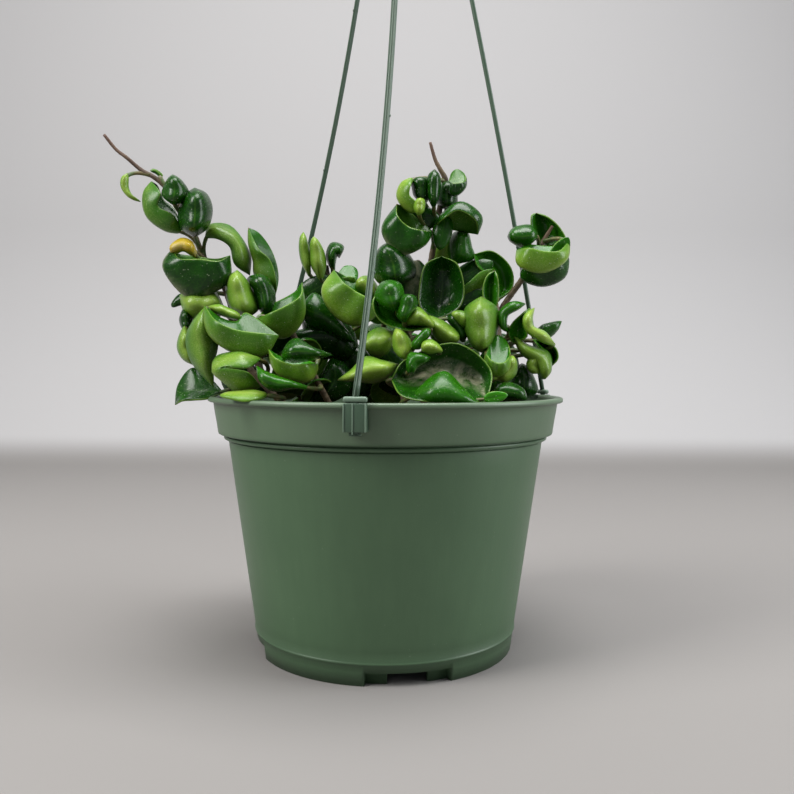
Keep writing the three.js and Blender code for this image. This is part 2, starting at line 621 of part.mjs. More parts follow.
        near: [[-32, 156], [-25, 149.8], [-19, 141]],
        rib: [[-34, 148], [-26.5, 144.5], [-19, 138.5]],
        far: [[-35, 141], [-28, 139], [-20, 135]] },
      { base: [-45, 138], tip: [-16, 137], back: [0, 0, 0, -5, 0],
        near: [[-40, 139], [-30, 141], [-22, 139]],
        rib: [[-39, 136], [-30, 136], [-22, 136]],
        far: [[-39, 129], [-30, 126], [-21, 129]] },
      { base: [-46.5, 128], tip: [-24, 128.3], back: [-46, -46, -46, -56, -46],
        near: [[-44, 133.5], [-39.5, 135.6], [-33, 131.5]],
        rib: [[-43, 129.5], [-37.5, 130], [-31, 129.3]],
        far: [[-43, 125], [-37, 125.3], [-30, 127]] },
      { base: [-31, 124.5], tip: [-52.6, 130.8], back: [-44, -44, -54, -48, -38],
        near: [[-36, 124.3], [-43, 124.3], [-49.5, 127]],
        rib: [[-34, 118], [-41.5, 117], [-49, 121.5]],
        far: [[-36, 126], [-43, 126], [-49, 128.5]] },
      { base: [-34.5, 113.5], tip: [-58, 123.4], back: [-52, -52, -52, -60, -52],
        near: [[-42, 116.3], [-49, 118.8], [-55, 121.3]],
        rib: [[-42, 115], [-49.5, 116], [-55.5, 118.5]],
        far: [[-42, 113.3], [-50, 112], [-56, 116]] },
      { base: [-38, 148], tip: [-12, 126], back: [2, 4, 4, -4, 4],
        near: [[-32, 152], [-22, 148], [-14, 138]],
        rib: [[-33, 142], [-25, 138], [-17, 131]],
        far: [[-36, 136], [-29, 129], [-21, 124.5]] },
      { base: [-34, 107], tip: [-24, 127], back: [-8, -6, -8, -14, -8],
        near: [[-31.5, 113], [-29, 118], [-26.5, 123.5]],
        rib: [[-27, 111], [-23, 117], [-23, 123]],
        far: [[-22, 108], [-15, 115], [-18, 124]] },
    ],
  },
  stem_behind_left: {
    root: [-18, 15],
    path: [[-22, 130, 20], [-25, 155, 24], [-27, 168, 26]],
    shaped: [
      [-31, 158, 22, 30, 0, 0, 20, 6.5, -40, -60, 0, 0, 0, 0, 0],
    ],
    drawn: [
      { base: [-34, 163], tip: [-37, 183], back: [24, 24, 24, 20, 24],
        near: [[-37.5, 169], [-38.8, 175], [-38.5, 180]],
        rib: [[-35.5, 168], [-36.5, 174], [-37, 179.5]],
        far: [[-34, 168], [-34.2, 174], [-35.5, 179]] },
      { base: [-29, 161], tip: [-32.5, 181], back: [22, 22, 22, 17, 22],
        near: [[-33.5, 168], [-34, 174], [-33.8, 178]],
        rib: [[-30.5, 168], [-31, 174], [-31.8, 178.5]],
        far: [[-27, 167], [-27.5, 173], [-29.8, 178]] },
      { base: [-23.5, 165], tip: [-21, 171.5], back: [26, 26, 26, 20, 26],
        near: [[-26.9, 172], [-24.6, 178.2], [-19.2, 176.8]],
        rib: [[-24.5, 171], [-23, 175], [-20.8, 174.6]],
        far: [[-22.8, 169.5], [-22.3, 172], [-21.8, 172.6]] },
      { base: [-4, 147], tip: [-23.3, 166.3], back: [-12, -12, -24, -18, -4],
        near: [[-8, 153.5], [-13.5, 156.8], [-19, 160.8]],
        rib: [[-13, 142.3], [-22.5, 146.5], [-28, 156.5]],
        far: [[-8, 157], [-13, 160.5], [-19, 164]] },
      { base: [-22, 164], tip: [-14, 161.5], back: [0, 0, -5, -2, 5],
        near: [[-20, 163], [-16.5, 163.5], [-14.5, 163]],
        rib: [[-20, 161.5], [-16.5, 161], [-14, 161.5]],
        far: [[-19, 167.8], [-15, 168], [-12.8, 165.5]] },
      { base: [-3, 154], tip: [-12, 162], back: [-2, -2, -2, -9, -2],
        near: [[-4, 159], [-7, 163], [-10, 163.5]],
        rib: [[-5.5, 156.5], [-9, 159], [-12, 161]],
        far: [[-7, 154], [-11, 155], [-13.5, 158.5]] },
      { base: [-16, 106], tip: [-14, 134], back: [6, 6, 6, -2, 6],
        near: [[-22, 112], [-24, 121], [-20, 130]],
        rib: [[-14, 113], [-13, 121], [-13, 129]],
        far: [[-7, 111], [-4, 120], [-8, 129]] },
    ],
  },
  stem_middle_tall: {
    root: [17, -5],
    path: [[17, 125, -4], [18, 150, 0], [20, 170.4, 2], [21.8, 180.7, 2], [23, 190, 2],
      [25, 200, 2], [26, 206.5, 1], [23.9, 210.8, 0], [21.8, 214.6, 0], [20.5, 218.5, 0],
      [19.3, 222.8, 0]],
    shaped: [
      [17.5, 189.5, -4, 0, 0, 0, 13, 5.5, -50, -60, 0, 0, 0, 0, 0],
      [25, 183, -8, -100, 0, 0, 15, 4.5, -20, -80, 0, 0, 0, 0, 0],
      [25, 175, 5, 80, 0, 180, 13, 4.5, 20, 60, 0, 0, 0, 0, 0],
      [12, 158, -6, -95, 0, 0, 26, 7, -40, -80, 0, 0, 0, 0, 0],
    ],
    drawn: [
      { base: [12, 206.5], tip: [16.5, 193], back: [-8, -12, -14, -10, -4],
        near: [[10.8, 204], [10.2, 199.8], [12.8, 197]],
        rib: [[7.5, 204.2], [5.8, 198.5], [10.5, 193.3]],
        far: [[7, 205], [5.4, 199], [9.5, 192.5]] },
      { base: [14.2, 191], tip: [15.6, 198], back: [-12, -12, -12, -16, -12],
        near: [[12.6, 192.8], [12.2, 195.2], [13.4, 197.4]],
        rib: [[14.6, 193], [14.6, 195.2], [14.8, 197]],
        far: [[16.3, 192.3], [17, 195.2], [16.8, 197.2]] },
      { base: [17, 196], tip: [14.3, 207.5], back: [-4, -4, -4, -10, -4],
        near: [[12.5, 199], [11.3, 203], [10.6, 206.3]],
        rib: [[15.3, 198.5], [15.2, 202.5], [14.6, 206]],
        far: [[18.8, 198], [19.4, 203], [18.4, 206.8]] },
      { base: [21, 194], tip: [21.3, 211], back: [-8, -8, -8, -12, -8],
        near: [[18.8, 198], [18.3, 203], [18.5, 208]],
        rib: [[21, 198], [21, 203], [21.3, 207.5]],
        far: [[23, 198.5], [24, 203.5], [23.5, 208]] },
      { base: [27, 193], tip: [27, 206], back: [2, 2, 2, -5, 2],
        near: [[22.5, 196], [22.6, 200], [24, 204]],
        rib: [[27, 196], [27, 200], [27, 204]],
        far: [[31, 195.3], [31.4, 200], [30.5, 204]] },
      { base: [27.8, 204], tip: [35.2, 205.8], back: [-2, -4, -10, -6, 2],
        near: [[29.3, 204.8], [31, 204.9], [33.3, 205.2]],
        rib: [[28.2, 201], [31, 200.3], [34.4, 203]],
        far: [[28.5, 208.8], [31.3, 211.2], [34.8, 208.8]] },
      { base: [20.5, 183.5], tip: [4.6, 195.7], back: [-6, -10, -20, -14, -4],
        near: [[16, 184], [9.6, 185.9], [5, 190.5]],
        rib: [[16, 177.3], [6, 174], [-1.4, 184]],
        far: [[17, 187], [12.5, 190.5], [8.5, 194]] },
      { base: [21.8, 186], tip: [40.8, 182.2], back: [-6, -8, -16, -8, 0],
        near: [[25.5, 189.2], [32, 192.8], [39.6, 188.6]],
        rib: [[26, 191.5], [33.5, 195.4], [41.6, 190]],
        far: [[26, 184.8], [31.5, 183.8], [37, 182.8]] },
      { base: [4.5, 159.5], tip: [1.5, 179], back: [-8, -8, -8, -20, -8],
        near: [[-3, 160.3], [-6.5, 166.5], [-4, 174.5]],
        rib: [[4, 163], [3, 169], [0.5, 175.5]],
        far: [[12.3, 163], [12.9, 168.5], [9, 174.5]] },
      { base: [29, 169], tip: [36, 183.3], back: [2, 4, 4, -4, 2],
        near: [[27.5, 175], [28, 180], [31, 183.5]],
        rib: [[33, 173], [33.5, 178], [34, 182]],
        far: [[39, 171.5], [38, 177], [37, 181.5]] },
      { base: [23, 144.3], tip: [24.6, 172.6], back: [-14, -14, -16, -8, -16],
        near: [[15.3, 149.5], [14.8, 158.5], [17.3, 168.6]],
        rib: [[24, 151], [25, 159], [25, 167]],
        far: [[32.6, 149.5], [34.9, 158], [32, 168.8]] },
      { base: [18, 110], tip: [30, 138], back: [4, 6, 4, -5, 4],
        near: [[15, 119], [18, 129], [24, 136]],
        rib: [[24, 117], [28, 125], [29, 132]],
        far: [[33, 113], [37, 122], [36, 132]] },
      { base: [15, 110], tip: [-3, 136], back: [2, 4, 2, -7, 2],
        near: [[16, 120], [12, 129], [4, 135]],
        rib: [[9, 117], [4, 124], [-1, 131]],
        far: [[2, 111], [-6, 118], [-6, 129]] },
    ],
  },
  stem_front_middle: {
    root: [8, -32],
    path: [[8, 118, -30], [10, 132, -28], [10, 142, -26]],
    drawn: [
      { base: [12.3, 131.5], tip: [19.8, 140], back: [-48, -48, -48, -52, -48],
        near: [[11.8, 133.8], [14, 136.5], [17, 139.5]],
        rib: [[13.5, 133], [15.3, 135.5], [18, 138.5]],
        far: [[15.3, 131.5], [16.8, 134], [18.8, 137]] },
      { base: [25, 130.3], tip: [16, 131.5], back: [-50, -50, -50, -55, -50],
        near: [[23.3, 133.2], [20, 135.4], [16.8, 134.4]],
        rib: [[22, 131.8], [19.5, 132.2], [17.3, 132.2]],
        far: [[22, 129.6], [19.5, 129], [17, 129.8]] },
      { base: [21, 141], tip: [-2, 158.5], back: [-40, -34, -42, -32, -38],
        near: [[9, 139.4], [-2.5, 143.6], [-6, 152]],
        rib: [[11, 143], [3, 147.5], [-1, 153]],
        far: [[12.5, 146], [6.5, 150.5], [4, 156]] },
      { base: [4.5, 147.5], tip: [2, 162], back: [-38, -38, -38, -46, -38],
        near: [[-1.5, 149.5], [-5.2, 154], [-2.6, 160.2]],
        rib: [[3, 151], [1.6, 155], [1.6, 159]],
        far: [[7.4, 150.5], [8, 155], [6.5, 160]] },
      { base: [8, 143], tip: [10, 155.5], back: [-42, -42, -42, -48, -42],
        near: [[5, 146], [5.2, 150.5], [7, 154.3]],
        rib: [[8, 146], [9.5, 150.5], [10, 154]],
        far: [[10.5, 146], [13.8, 150.5], [13, 154.3]] },
      { base: [8.5, 142.3], tip: [21.5, 141], back: [-38, -38, -38, -44, -38],
        near: [[12, 149], [15, 149.5], [19, 145.5]],
        rib: [[12, 145], [15, 145.5], [19, 143.3]],
        far: [[12, 141.9], [15, 141.8], [18.5, 141.3]] },
      { base: [3.3, 138], tip: [-9.5, 133], back: [-34, -34, -34, -42, -34],
        near: [[-0.5, 140.5], [-5, 140], [-8.8, 137]],
        rib: [[0.8, 135.5], [-4, 134], [-8.5, 133.5]],
        far: [[1.5, 130.5], [-3.5, 127.3], [-8, 130.3]] },
      { base: [9.8, 126.5], tip: [4.4, 140.5], back: [-44, -44, -44, -50, -44],
        near: [[6, 127.8], [3.3, 131.5], [3.2, 136.5]],
        rib: [[8.5, 129], [7, 133], [5.5, 137.5]],
        far: [[12, 129.5], [11, 134.5], [8, 138.5]] },
      { base: [19, 146], tip: [32.8, 135.5], back: [-30, -30, -30, -38, -30],
        near: [[25, 144], [29.5, 141], [32.3, 138]],
        rib: [[22.5, 141.5], [27, 138], [31, 136]],
        far: [[20.5, 138.5], [25, 134], [30, 134]] },
      { base: [27, 145], tip: [35.5, 134.5], back: [-24, -24, -24, -28, -24],
        near: [[30.5, 147], [33.8, 143], [35.8, 139]],
        rib: [[30, 144.5], [32.5, 141], [34.5, 137]],
        far: [[29, 142], [31.5, 138.5], [33.5, 135]] },
      { base: [5, 124], tip: [-21.8, 117], back: [-44, -46, -44, -54, -44],
        near: [[-2, 126], [-9.5, 127.5], [-16, 121.2]],
        rib: [[0, 122.5], [-7.5, 121.5], [-15, 119]],
        far: [[1, 118.5], [-6, 115.8], [-14, 116.8]] },
      { base: [2.4, 117.5], tip: [45.5, 107.6], back: [-52, -58, -50, -46, -66],
        near: [[9.5, 127], [31, 134], [46.8, 122.5]],
        rib: [[10, 118], [26, 121.5], [41, 116]],
        far: [[7.5, 109.8], [22, 107.1], [37, 107.3]] },
      { base: [12, 110], tip: [41, 107], back: [-60, -64, -58, -66, -66],
        near: [[20, 118.5], [27, 121], [34, 114.5]],
        rib: [[20, 113], [27, 114], [34.5, 110.5]],
        far: [[20, 107.6], [27, 107.5], [35, 107.2]] },
      { base: [10, 121], tip: [20, 127.5], back: [-52, -52, -52, -56, -52],
        near: [[9.3, 126], [11, 129.3], [16, 129]],
        rib: [[11, 123], [13, 126], [17, 127]],
        far: [[12, 120.5], [14, 123], [17.5, 125.5]] },
    ],
  },
  stem_right: {
    root: [38, -15],
    path: [[46, 115, -16], [50, 132, -14], [50, 145, -8], [48, 155, -2]],
    shaped: [
      [38.5, 165.5, 0, 30, 0, 20, 21, 6.5, -20, -60, 0, 0, 0, 0, 0],
      [42, 159, -10, 45, 0, 120, 20, 6.5, 20, 120, 0, 0, 0, 0, 0],
      [37.5, 153, -12, 10, 0, 0, 18, 6, -30, -40, 0, 0, 0, 0, 0],
      [49.5, 109.8, -62, 10, 0, 0, 9, 2.2, 0, 30, 0, 0, 0, 0, 0],
    ],
    drawn: [
      { base: [50, 153], tip: [39, 173.5], back: [2, 0, -2, 8, 4],
        near: [[47, 158], [45, 164], [40.5, 168.5]],
        rib: [[52, 158], [50, 166.5], [44, 172]],
        far: [[56.5, 159], [55.5, 168], [47.5, 174.8]] },
      { base: [48, 147], tip: [48.4, 166.3], back: [-14, -14, -16, -12, -16],
        near: [[44.3, 152], [43.3, 158], [45, 163.8]],
        rib: [[46.5, 152], [46, 158], [47, 163]],
        far: [[49.8, 152], [50.3, 158], [49.7, 163.6]] },
      { base: [42.5, 154.5], tip: [43, 129.5], back: [-26, -26, -26, -38, -26],
        near: [[35.5, 149.5], [34.8, 141.5], [38.3, 133]],
        rib: [[41.5, 149], [42.5, 141], [43, 134]],
        far: [[49.8, 149.5], [50.2, 141], [47.8, 133.5]] },
      { base: [37.5, 144], tip: [29.3, 147.2], back: [-28, -28, -28, -31, -28],
        near: [[35.5, 147.5], [33, 148.3], [31, 148]],
        rib: [[35.5, 144.5], [33, 145.5], [31, 146.5]],
        far: [[35.5, 141], [33.5, 142], [31.3, 144.8]] },
      { base: [45, 129], tip: [55.8, 128.5], back: [-38, -38, -48, -42, -30],
        near: [[47, 126.6], [50, 125.2], [53.3, 125.6]],
        rib: [[46.3, 122.3], [50, 120.6], [54.5, 123]],
        far: [[47, 135.5], [50.5, 137.7], [54.5, 134.3]] },
      { base: [49, 118], tip: [56.5, 128.5], back: [-34, -34, -34, -40, -34],
        near: [[50, 122], [52.5, 125.5], [55, 127.5]],
        rib: [[52, 119], [55, 122.5], [57, 126]],
        far: [[54, 116.8], [58.3, 120], [58.5, 125]] },
      { base: [57, 134], tip: [64.6, 149.8], back: [-24, -24, -26, -22, -28],
        near: [[54.8, 138.5], [56.6, 143], [61, 147]],
        rib: [[59, 137.5], [60, 142], [62, 146.5]],
        far: [[63.2, 137], [61.6, 142], [62.6, 147]] },
      { base: [66, 135.5], tip: [73.8, 123.2], back: [-20, -20, -22, -14, -26],
        near: [[71, 134.8], [75.8, 132.2], [77.2, 127.5]],
        rib: [[70, 133.3], [74, 130.5], [75.3, 127]],
        far: [[69, 131.5], [72, 129.5], [73.5, 126.5]] },
      { base: [55.5, 139.5], tip: [62.5, 151.6], back: [-24, -24, -24, -31, -26],
        near: [[50.8, 142.5], [50.4, 147.5], [55.5, 152]],
        rib: [[52.5, 141], [52.2, 147], [57.5, 151]],
        far: [[54, 141.5], [54.5, 146.3], [58.5, 148.8]] },
      { base: [75.6, 133], tip: [66.4, 149.9], back: [-22, -22, -28, -32, -24],
        near: [[70, 134.6], [62.8, 139.5], [61.6, 145.8]],
        rib: [[71, 136.8], [64.4, 141], [63.8, 145.8]],
        far: [[71.5, 138.8], [66.2, 141.2], [65.4, 145.8]] },
      { base: [57, 137], tip: [71.5, 117.8], back: [-22, -26, -24, -31, -24],
        near: [[64, 133], [72.8, 130], [74.2, 122.5]],
        rib: [[62.5, 131.5], [69.5, 127], [72, 121.5]],
        far: [[60.5, 129.5], [66, 125], [69, 119]] },
      { base: [68.5, 128.5], tip: [68.5, 120.5], back: [-26, -26, -26, -30, -26],
        near: [[64.5, 127.5], [63.2, 124], [65, 121]],
        rib: [[67, 126.5], [66, 124], [66.8, 121.8]],
        far: [[69.5, 127], [69, 124], [69, 121.5]] },
      { base: [67, 139], tip: [78.7, 143.9], back: [5, 5, 5, 1, 5],
        near: [[70, 142], [73, 143], [76, 143.6]],
        rib: [[70, 140], [73, 140], [76, 141.7]],
        far: [[69.5, 137.5], [73, 136.5], [76.5, 139.5]] },
      { base: [60, 108], tip: [61, 125], back: [-18, -18, -18, -25, -18],
        near: [[56.5, 113], [57, 118], [58.5, 122.5]],
        rib: [[62, 113], [62, 118], [61.5, 122]],
        far: [[68, 112], [66.8, 118], [63.8, 123]] },
      { base: [48, 111], tip: [63.5, 108.8], back: [-44, -44, -44, -50, -44],
        near: [[51, 115.5], [56, 116.3], [61.5, 113.5]],
        rib: [[51, 112], [56, 112], [61, 110.8]],
        far: [[51, 108], [56, 107.7], [61, 107.8]] },
    ],
  },
  stem_right_tall: {
    root: [44, 2],
    path: [[46, 125, 2], [48, 140, 2], [51, 148.1, 2], [54.8, 154.1, 2], [59.1, 160.1, 2],
      [63, 166, 3], [66.5, 172.5, 4], [69.8, 179, 4], [74.1, 186.3, 3]],
    shaped: [
      [77.5, 175, -8, 60, 0, 0, 14, 4, 60, 60, 0, 0, 0, 0, 0],
    ],
    drawn: [
      { base: [67.5, 182], tip: [54, 181.5], back: [-2, -2, -2, -8, -2],
        near: [[64.5, 186.3], [60.5, 186.5], [56.3, 185]],
        rib: [[65, 182], [60.5, 181.5], [56.5, 181.8]],
        far: [[64, 178], [60, 176.9], [55.8, 179]] },
      { base: [71, 177], tip: [66.6, 192], back: [4, 4, 2, 8, 2],
        near: [[66, 181], [64.6, 186], [64.6, 190.6]],
        rib: [[71.5, 181], [70.5, 185.5], [69, 189.6]],
        far: [[79.8, 179.3], [78, 184.8], [72.5, 189.8]] },
      { base: [81, 179], tip: [58, 175.5], back: [-8, -8, -18, -14, -4],
        near: [[77, 175.3], [70, 175.2], [63.5, 176.6]],
        rib: [[79.5, 171.5], [70, 166.4], [60, 169]],
        far: [[76, 177.5], [70, 177.5], [63.5, 178]] },
      { base: [81.3, 172.5], tip: [60.3, 168], back: [-2, -2, -12, -4, 6],
        near: [[77, 170], [70, 168], [63.5, 169]],
        rib: [[79.5, 164], [70.5, 160], [61.5, 162.5]],
        far: [[77, 173], [70, 171], [63.5, 171]] },
      { base: [47, 108], tip: [53, 137], back: [8, 8, 8, 0, 8],
        near: [[41, 116], [41, 125], [46, 133]],
        rib: [[49, 115], [50, 124], [52, 132]],
        far: [[57, 112], [60, 120], [58, 131]] },
    ],
  },
};

// Stems at the back, whose leaves grow in opposite pairs, each pair a quarter turn from the last.
const BACK_STEMS = {
  stem_back_left: { root: [-36, 24], path: [[-44, 30, 112], [-52, 36, 128], [-56, 38, 142]], seed: 67 },
  stem_back_middle: { root: [-6, 40], path: [[-8, 48, 112], [-10, 56, 126], [-12, 58, 142]], seed: 23 },
  stem_back_right: { root: [30, 36], path: [[36, 44, 112], [42, 50, 126], [44, 50, 142]], seed: 111 },
  stem_centre: { root: [2, 12], path: [[2, 16, 114], [0, 22, 132], [-2, 26, 148]], seed: 71 },
  stem_inner_left: { root: [-28, 2], path: [[-31, 4, 112], [-35, 6, 124], [-38, 8, 136]], seed: 41 },
  stem_inner_right: { root: [26, 14], path: [[28, 16, 112], [31, 18, 128], [33, 20, 144]], seed: 33 },
};
const PAIR_SPACING = 9.5;

// A stem's curve, from its collar above the soil through the path's points.
function stemCurve(root, points) {
  return smooth([new THREE.Vector3(...root, COLLAR_Z), ...points]);
}

function shapedSurface(row, draw) {
  const [x, z, back, aim, lean, face, ...rest] = row;
  const [long, half, curl, cup, tip, bend, twist, lip, lop, wave = LEAF_WAVE] = rest;
  const phase = draw() * Math.PI * 2;
  const shape = { long, half, curl, cup, tip, bend, twist, lip, lop, wave, phase };
  return leafSurface({ middle: seat(x, z, back), ...leafFrame(aim, lean, face), ...shape });
}

// The leaves of one back stem, in pairs along its curve.
function backLeaves(curve, seed) {
  const draw = draws(seed);
  const between = (low, high) => low + (high - low) * draw();
  const length = curve.getLength();
  const leaves = [];
  let pair = 0;
  for (let s = 10; s < length; s += PAIR_SPACING) {
    const u = s / length;
    const node = curve.getPointAt(u);
    const way = curve.getTangentAt(u);
    const first = new THREE.Vector3(1, 0, 0).cross(way).normalize();
    const second = way.clone().cross(first);
    const turn = pair * 90 + between(-20, 20);
    for (const half of [0, 180]) {
      const angle = rad(turn + half + between(-12, 12));
      const out = first.clone().multiplyScalar(Math.cos(angle)).addScaledVector(second, Math.sin(angle));
      const long = between(24, 31);
      const along = out.clone().addScaledVector(way, between(0.1, 0.7)).normalize();
      const upper = way.clone().addScaledVector(along, -way.dot(along)).normalize();
      const opens = draw() < 0.45;
      const sign = opens ? 1 : -1;
      const surface = leafSurface({
        middle: node.clone().addScaledVector(out, 4 + long * 0.36),
        along,
        upper,
        across: upper.clone().cross(along),
        long,
        half: between(7.5, 10),
        curl: sign * between(50, 110),
        cup: sign * between(70, 120),
        tip: 0,
        bend: between(-20, 20),
        twist: between(-30, 30),
        lip: 0,
        lop: 0,
        wave: LEAF_WAVE,
        phase: between(0, 6),
      });
      leaves.push({ ...surface, plain: true });
    }
    pair += 1;
  }
  return leaves;
}

// The stem and its petioles, with a straight foot that stands in its hole in the soil.
// A petiole leaves the stem below its leaf and runs into the blade.
function stalkSolid(root, curve, leaves, extra = 0) {
  const section = ovalSection(2 * (STEM_RADIUS + extra), 2 * (STEM_RADIUS + extra), STEM_SIDES);
  const steps = Math.max(4, Math.round(curve.getLength() / 14));
  const sideways = new THREE.Vector3(0, 1, 0);
  const footLow = SOIL_TOP_Z - STEM_HOLE_DEPTH + GAP;
  const footHigh = COLLAR_Z + 1.5 - footLow;
  const foot = upright(STEM_RADIUS + extra, footHigh, ...root, footLow + footHigh / 2, STEM_SIDES);
  const stalks = [foot, swept(curve, section, steps, sideways)];
  const samples = curve.getSpacedPoints(80);
  for (const { wayAt, ribAt, long } of leaves) {
    const base = ribAt(0);
    let nearest = 0;
    samples.forEach((p, i) => {
      if (p.distanceTo(base) < samples[nearest].distanceTo(base)) nearest = i;
    });
    const from = samples[Math.max(2, nearest - 4)];
    const reach = from.distanceTo(base);
    const bendPoint = base.clone().addScaledVector(wayAt(0), -0.4 * reach);
    const into = ribAt(Math.min(0.3, 3.5 / long));
    const path = new THREE.QuadraticBezierCurve3(from, bendPoint, into);
    const round = ovalSection(2 * (PETIOLE_RADIUS + extra), 2 * (PETIOLE_RADIUS + extra), PETIOLE_SIDES);
    stalks.push(swept(path, round, 2, sideways));
  }
  return joined(stalks);
}

const leafyStems = [];
for (const [name, { root, path, shaped = [], drawn }] of Object.entries(FRONT_STEMS)) {
  const curve = stemCurve(root, path.map((p) => seat(...p)));
  const draw = draws(root[0] + 100);
  const leaves = [...shaped.map((row) => shapedSurface(row, draw)), ...drawn.map(drawnSurface)];
  leafyStems.push({ name, root, curve, leaves });
}
for (const [name, { root, path, seed }] of Object.entries(BACK_STEMS)) {
  const curve = stemCurve(root, path.map((p) => new THREE.Vector3(...p)));
  leafyStems.push({ name, root, curve, leaves: backLeaves(curve, seed) });
}

// The room that the pot and the soil take up, with the clearance that leaves keep from them.
function potRoom() {
  const soilTop = SOIL_TOP_Z + SOIL_MOUND + CLEARANCE;
  return turned([
    [0, SOIL_TOP_Z - 10],
    [LIP_RADIUS + CLEARANCE, SOIL_TOP_Z - 10],
    [LIP_RADIUS + CLEARANCE, POT_HEIGHT + CLEARANCE],
    [BAND_TOP_RADIUS - WALL - CLEARANCE - 0.3, POT_HEIGHT + CLEARANCE],
    [BAND_FOOT_RADIUS - WALL - CLEARANCE - 0.3, soilTop],
    [0, soilTop],
  ], POT_SIDES);
}

// Each leafy stem keeps clear of the others: its blades end just short of any stalk, and of
// any blade, that was there first.
function leafyStemSolids(stems, obstacles) {
  const stalks = stems.map(({ root, curve, leaves }) => stalkSolid(root, curve, leaves));
  const stalkRooms = stems.map(({ root, curve, leaves }) => stalkSolid(root, curve, leaves, CLEARANCE));
  const bladeRooms = [];
  return stems.map(({ leaves }, i) => {
    let blades = joined(leaves.map((leaf) => solidOf(leafGeometry(leaf))));
    stalkRooms.forEach((room, j) => {
      if (j !== i) blades = blades.subtract(room);
    });
    for (const room of [...bladeRooms, ...obstacles]) blades = blades.subtract(room);
    bladeRooms.push(joined(leaves.map((leaf) => solidOf(leafGeometry(leaf, CLEARANCE)))));
    return mainBody(blades.add(stalks[i]));
  });
}

const potPlastic = new THREE.MeshStandardMaterial({ color: 0x47604a, roughness: 0.55, metalness: 0 });
const hangerPlastic = new THREE.MeshStandardMaterial({ color: 0x56786a, roughness: 0.45, metalness: 0 });
const darkSoil = new THREE.MeshStandardMaterial({ color: 0x2b2019, roughness: 0.95, metalness: 0 });
const leafGreen = new THREE.MeshStandardMaterial({ color: 0x3c6a22, roughness: 0.35, metalness: 0 });

const plant = new THREE.Group();

function addPiece(name, solid, material) {
  const mesh = new THREE.Mesh(geometryOf(solid), material);
  mesh.name = name;
  plant.add(mesh);
}

addPiece('pot', potSolid(), potPlastic);
addPiece('soil', soilSolid(leafyStems.map(({ root }) => root)), darkSoil);
addPiece('hanger_hook', hookSolid(), hangerPlastic);
for (const [side, azimuth] of Object.entries(ARM_AZIMUTHS)) {
  addPiece(`hanger_arm_${side}`, armSolid(azimuth, ARM_BOWS[side]), hangerPlastic);
}
const armRooms = Object.entries(ARM_AZIMUTHS)
  .map(([side, azimuth]) => strandSolid(azimuth, ARM_BOWS[side], CLEARANCE));
leafyStemSolids(leafyStems, [potRoom(), ...armRooms]).forEach((solid, i) => {
  addPiece(leafyStems[i].name, solid, leafGreen);
});

export default plant;
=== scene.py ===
"""A curly-leaved wax plant in a round hanging nursery pot, dressed for a studio render.

Shapes are worked out in millimetres on numpy grids and written to meshes in metres. The
front of the plant is towards -Y, and an azimuth turns from there towards +X.
"""

import math

import bpy
import numpy as np
from mathutils import Matrix


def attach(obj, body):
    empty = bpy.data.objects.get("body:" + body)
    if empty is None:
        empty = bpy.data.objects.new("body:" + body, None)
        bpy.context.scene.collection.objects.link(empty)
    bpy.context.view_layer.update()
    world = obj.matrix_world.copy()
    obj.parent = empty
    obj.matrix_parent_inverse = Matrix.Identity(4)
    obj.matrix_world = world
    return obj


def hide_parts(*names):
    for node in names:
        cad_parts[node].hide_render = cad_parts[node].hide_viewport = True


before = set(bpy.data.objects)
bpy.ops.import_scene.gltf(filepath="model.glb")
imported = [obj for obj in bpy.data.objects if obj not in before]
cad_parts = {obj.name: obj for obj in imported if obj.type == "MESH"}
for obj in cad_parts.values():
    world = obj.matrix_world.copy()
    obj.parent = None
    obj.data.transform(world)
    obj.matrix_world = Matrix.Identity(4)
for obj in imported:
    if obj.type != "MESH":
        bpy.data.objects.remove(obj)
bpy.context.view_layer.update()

MM = 0.001

# Pot
POT_HEIGHT = 110.2
LIP_RADIUS = 78.0
LIP_THICK = 2.0
BAND_TOP_RADIUS = 75.7
BAND_FOOT_RADIUS = 73.6
BAND_FOOT_Z = 94.6
GROOVE = 0.55
STEP_RADIUS = 71.0
STEP_Z = 92.4
WALL_TOP_RADIUS = 69.2
FOOT_RADIUS = 56.4
WALL = 1.5
FLOOR_UNDER_Z = 5.5
FLOOR_TOP_Z = 7.2
CENTRE_FOOT_RADIUS = 9.0
BEAD_Z = 9.0
NOTCH_AZIMUTHS = [10, 100, 190, 280]
NOTCH_WIDTH = 35.0
NOTCH_GAP = 17.0
NOTCH_DEPTH = 3.2
WALL_SLOPE = (WALL_TOP_RADIUS - FOOT_RADIUS) / (STEP_Z - 0.9)
POT_SIDES = 288
FLOOR_RING_RADIUS = 30.0

# Pockets and hanger
ARM_AZIMUTHS = {"front": -7.5, "right": 108, "left": -132}
ARM_BOWS = {"front": 11.5, "right": 5.4, "left": 15.6}
POCKET_OUT = 78.9
POCKET_WIDTH = 8.4
POCKET_REACH = 1.6
POCKET_FOOT_Z = 100.0
SLOT_WIDTH = 3.2
SLOT_DEEP = 2.0
GAP = 0.3
ARM_WIDTH = 2.5
ARM_THICK = 1.8
RIDGE_HIGH = 0.45
TONGUE_WIDTH = 2.6
TONGUE_THICK = 1.4
TONGUE_END_Z = 98.6
BARB_WIDTH = 4.4
BARB_HEIGHT = 1.0
BAR_WIDTH = 8.8
BAR_DEEP = 2.4
BAR_HEIGHT = 2.1
BAR_FOOT_Z = POT_HEIGHT + GAP
HUB = np.array([5.0, 0.0, 412.0])
HUB_RADIUS = 7.0
HUB_HALF_HEIGHT = 4.0
HUB_SLOT_DEPTH = 3.4
HOOK_RADIUS = 13.0
HOOK_WIDTH = 5.0
HOOK_THICK = 3.6
HOOK_NECK = 12.0
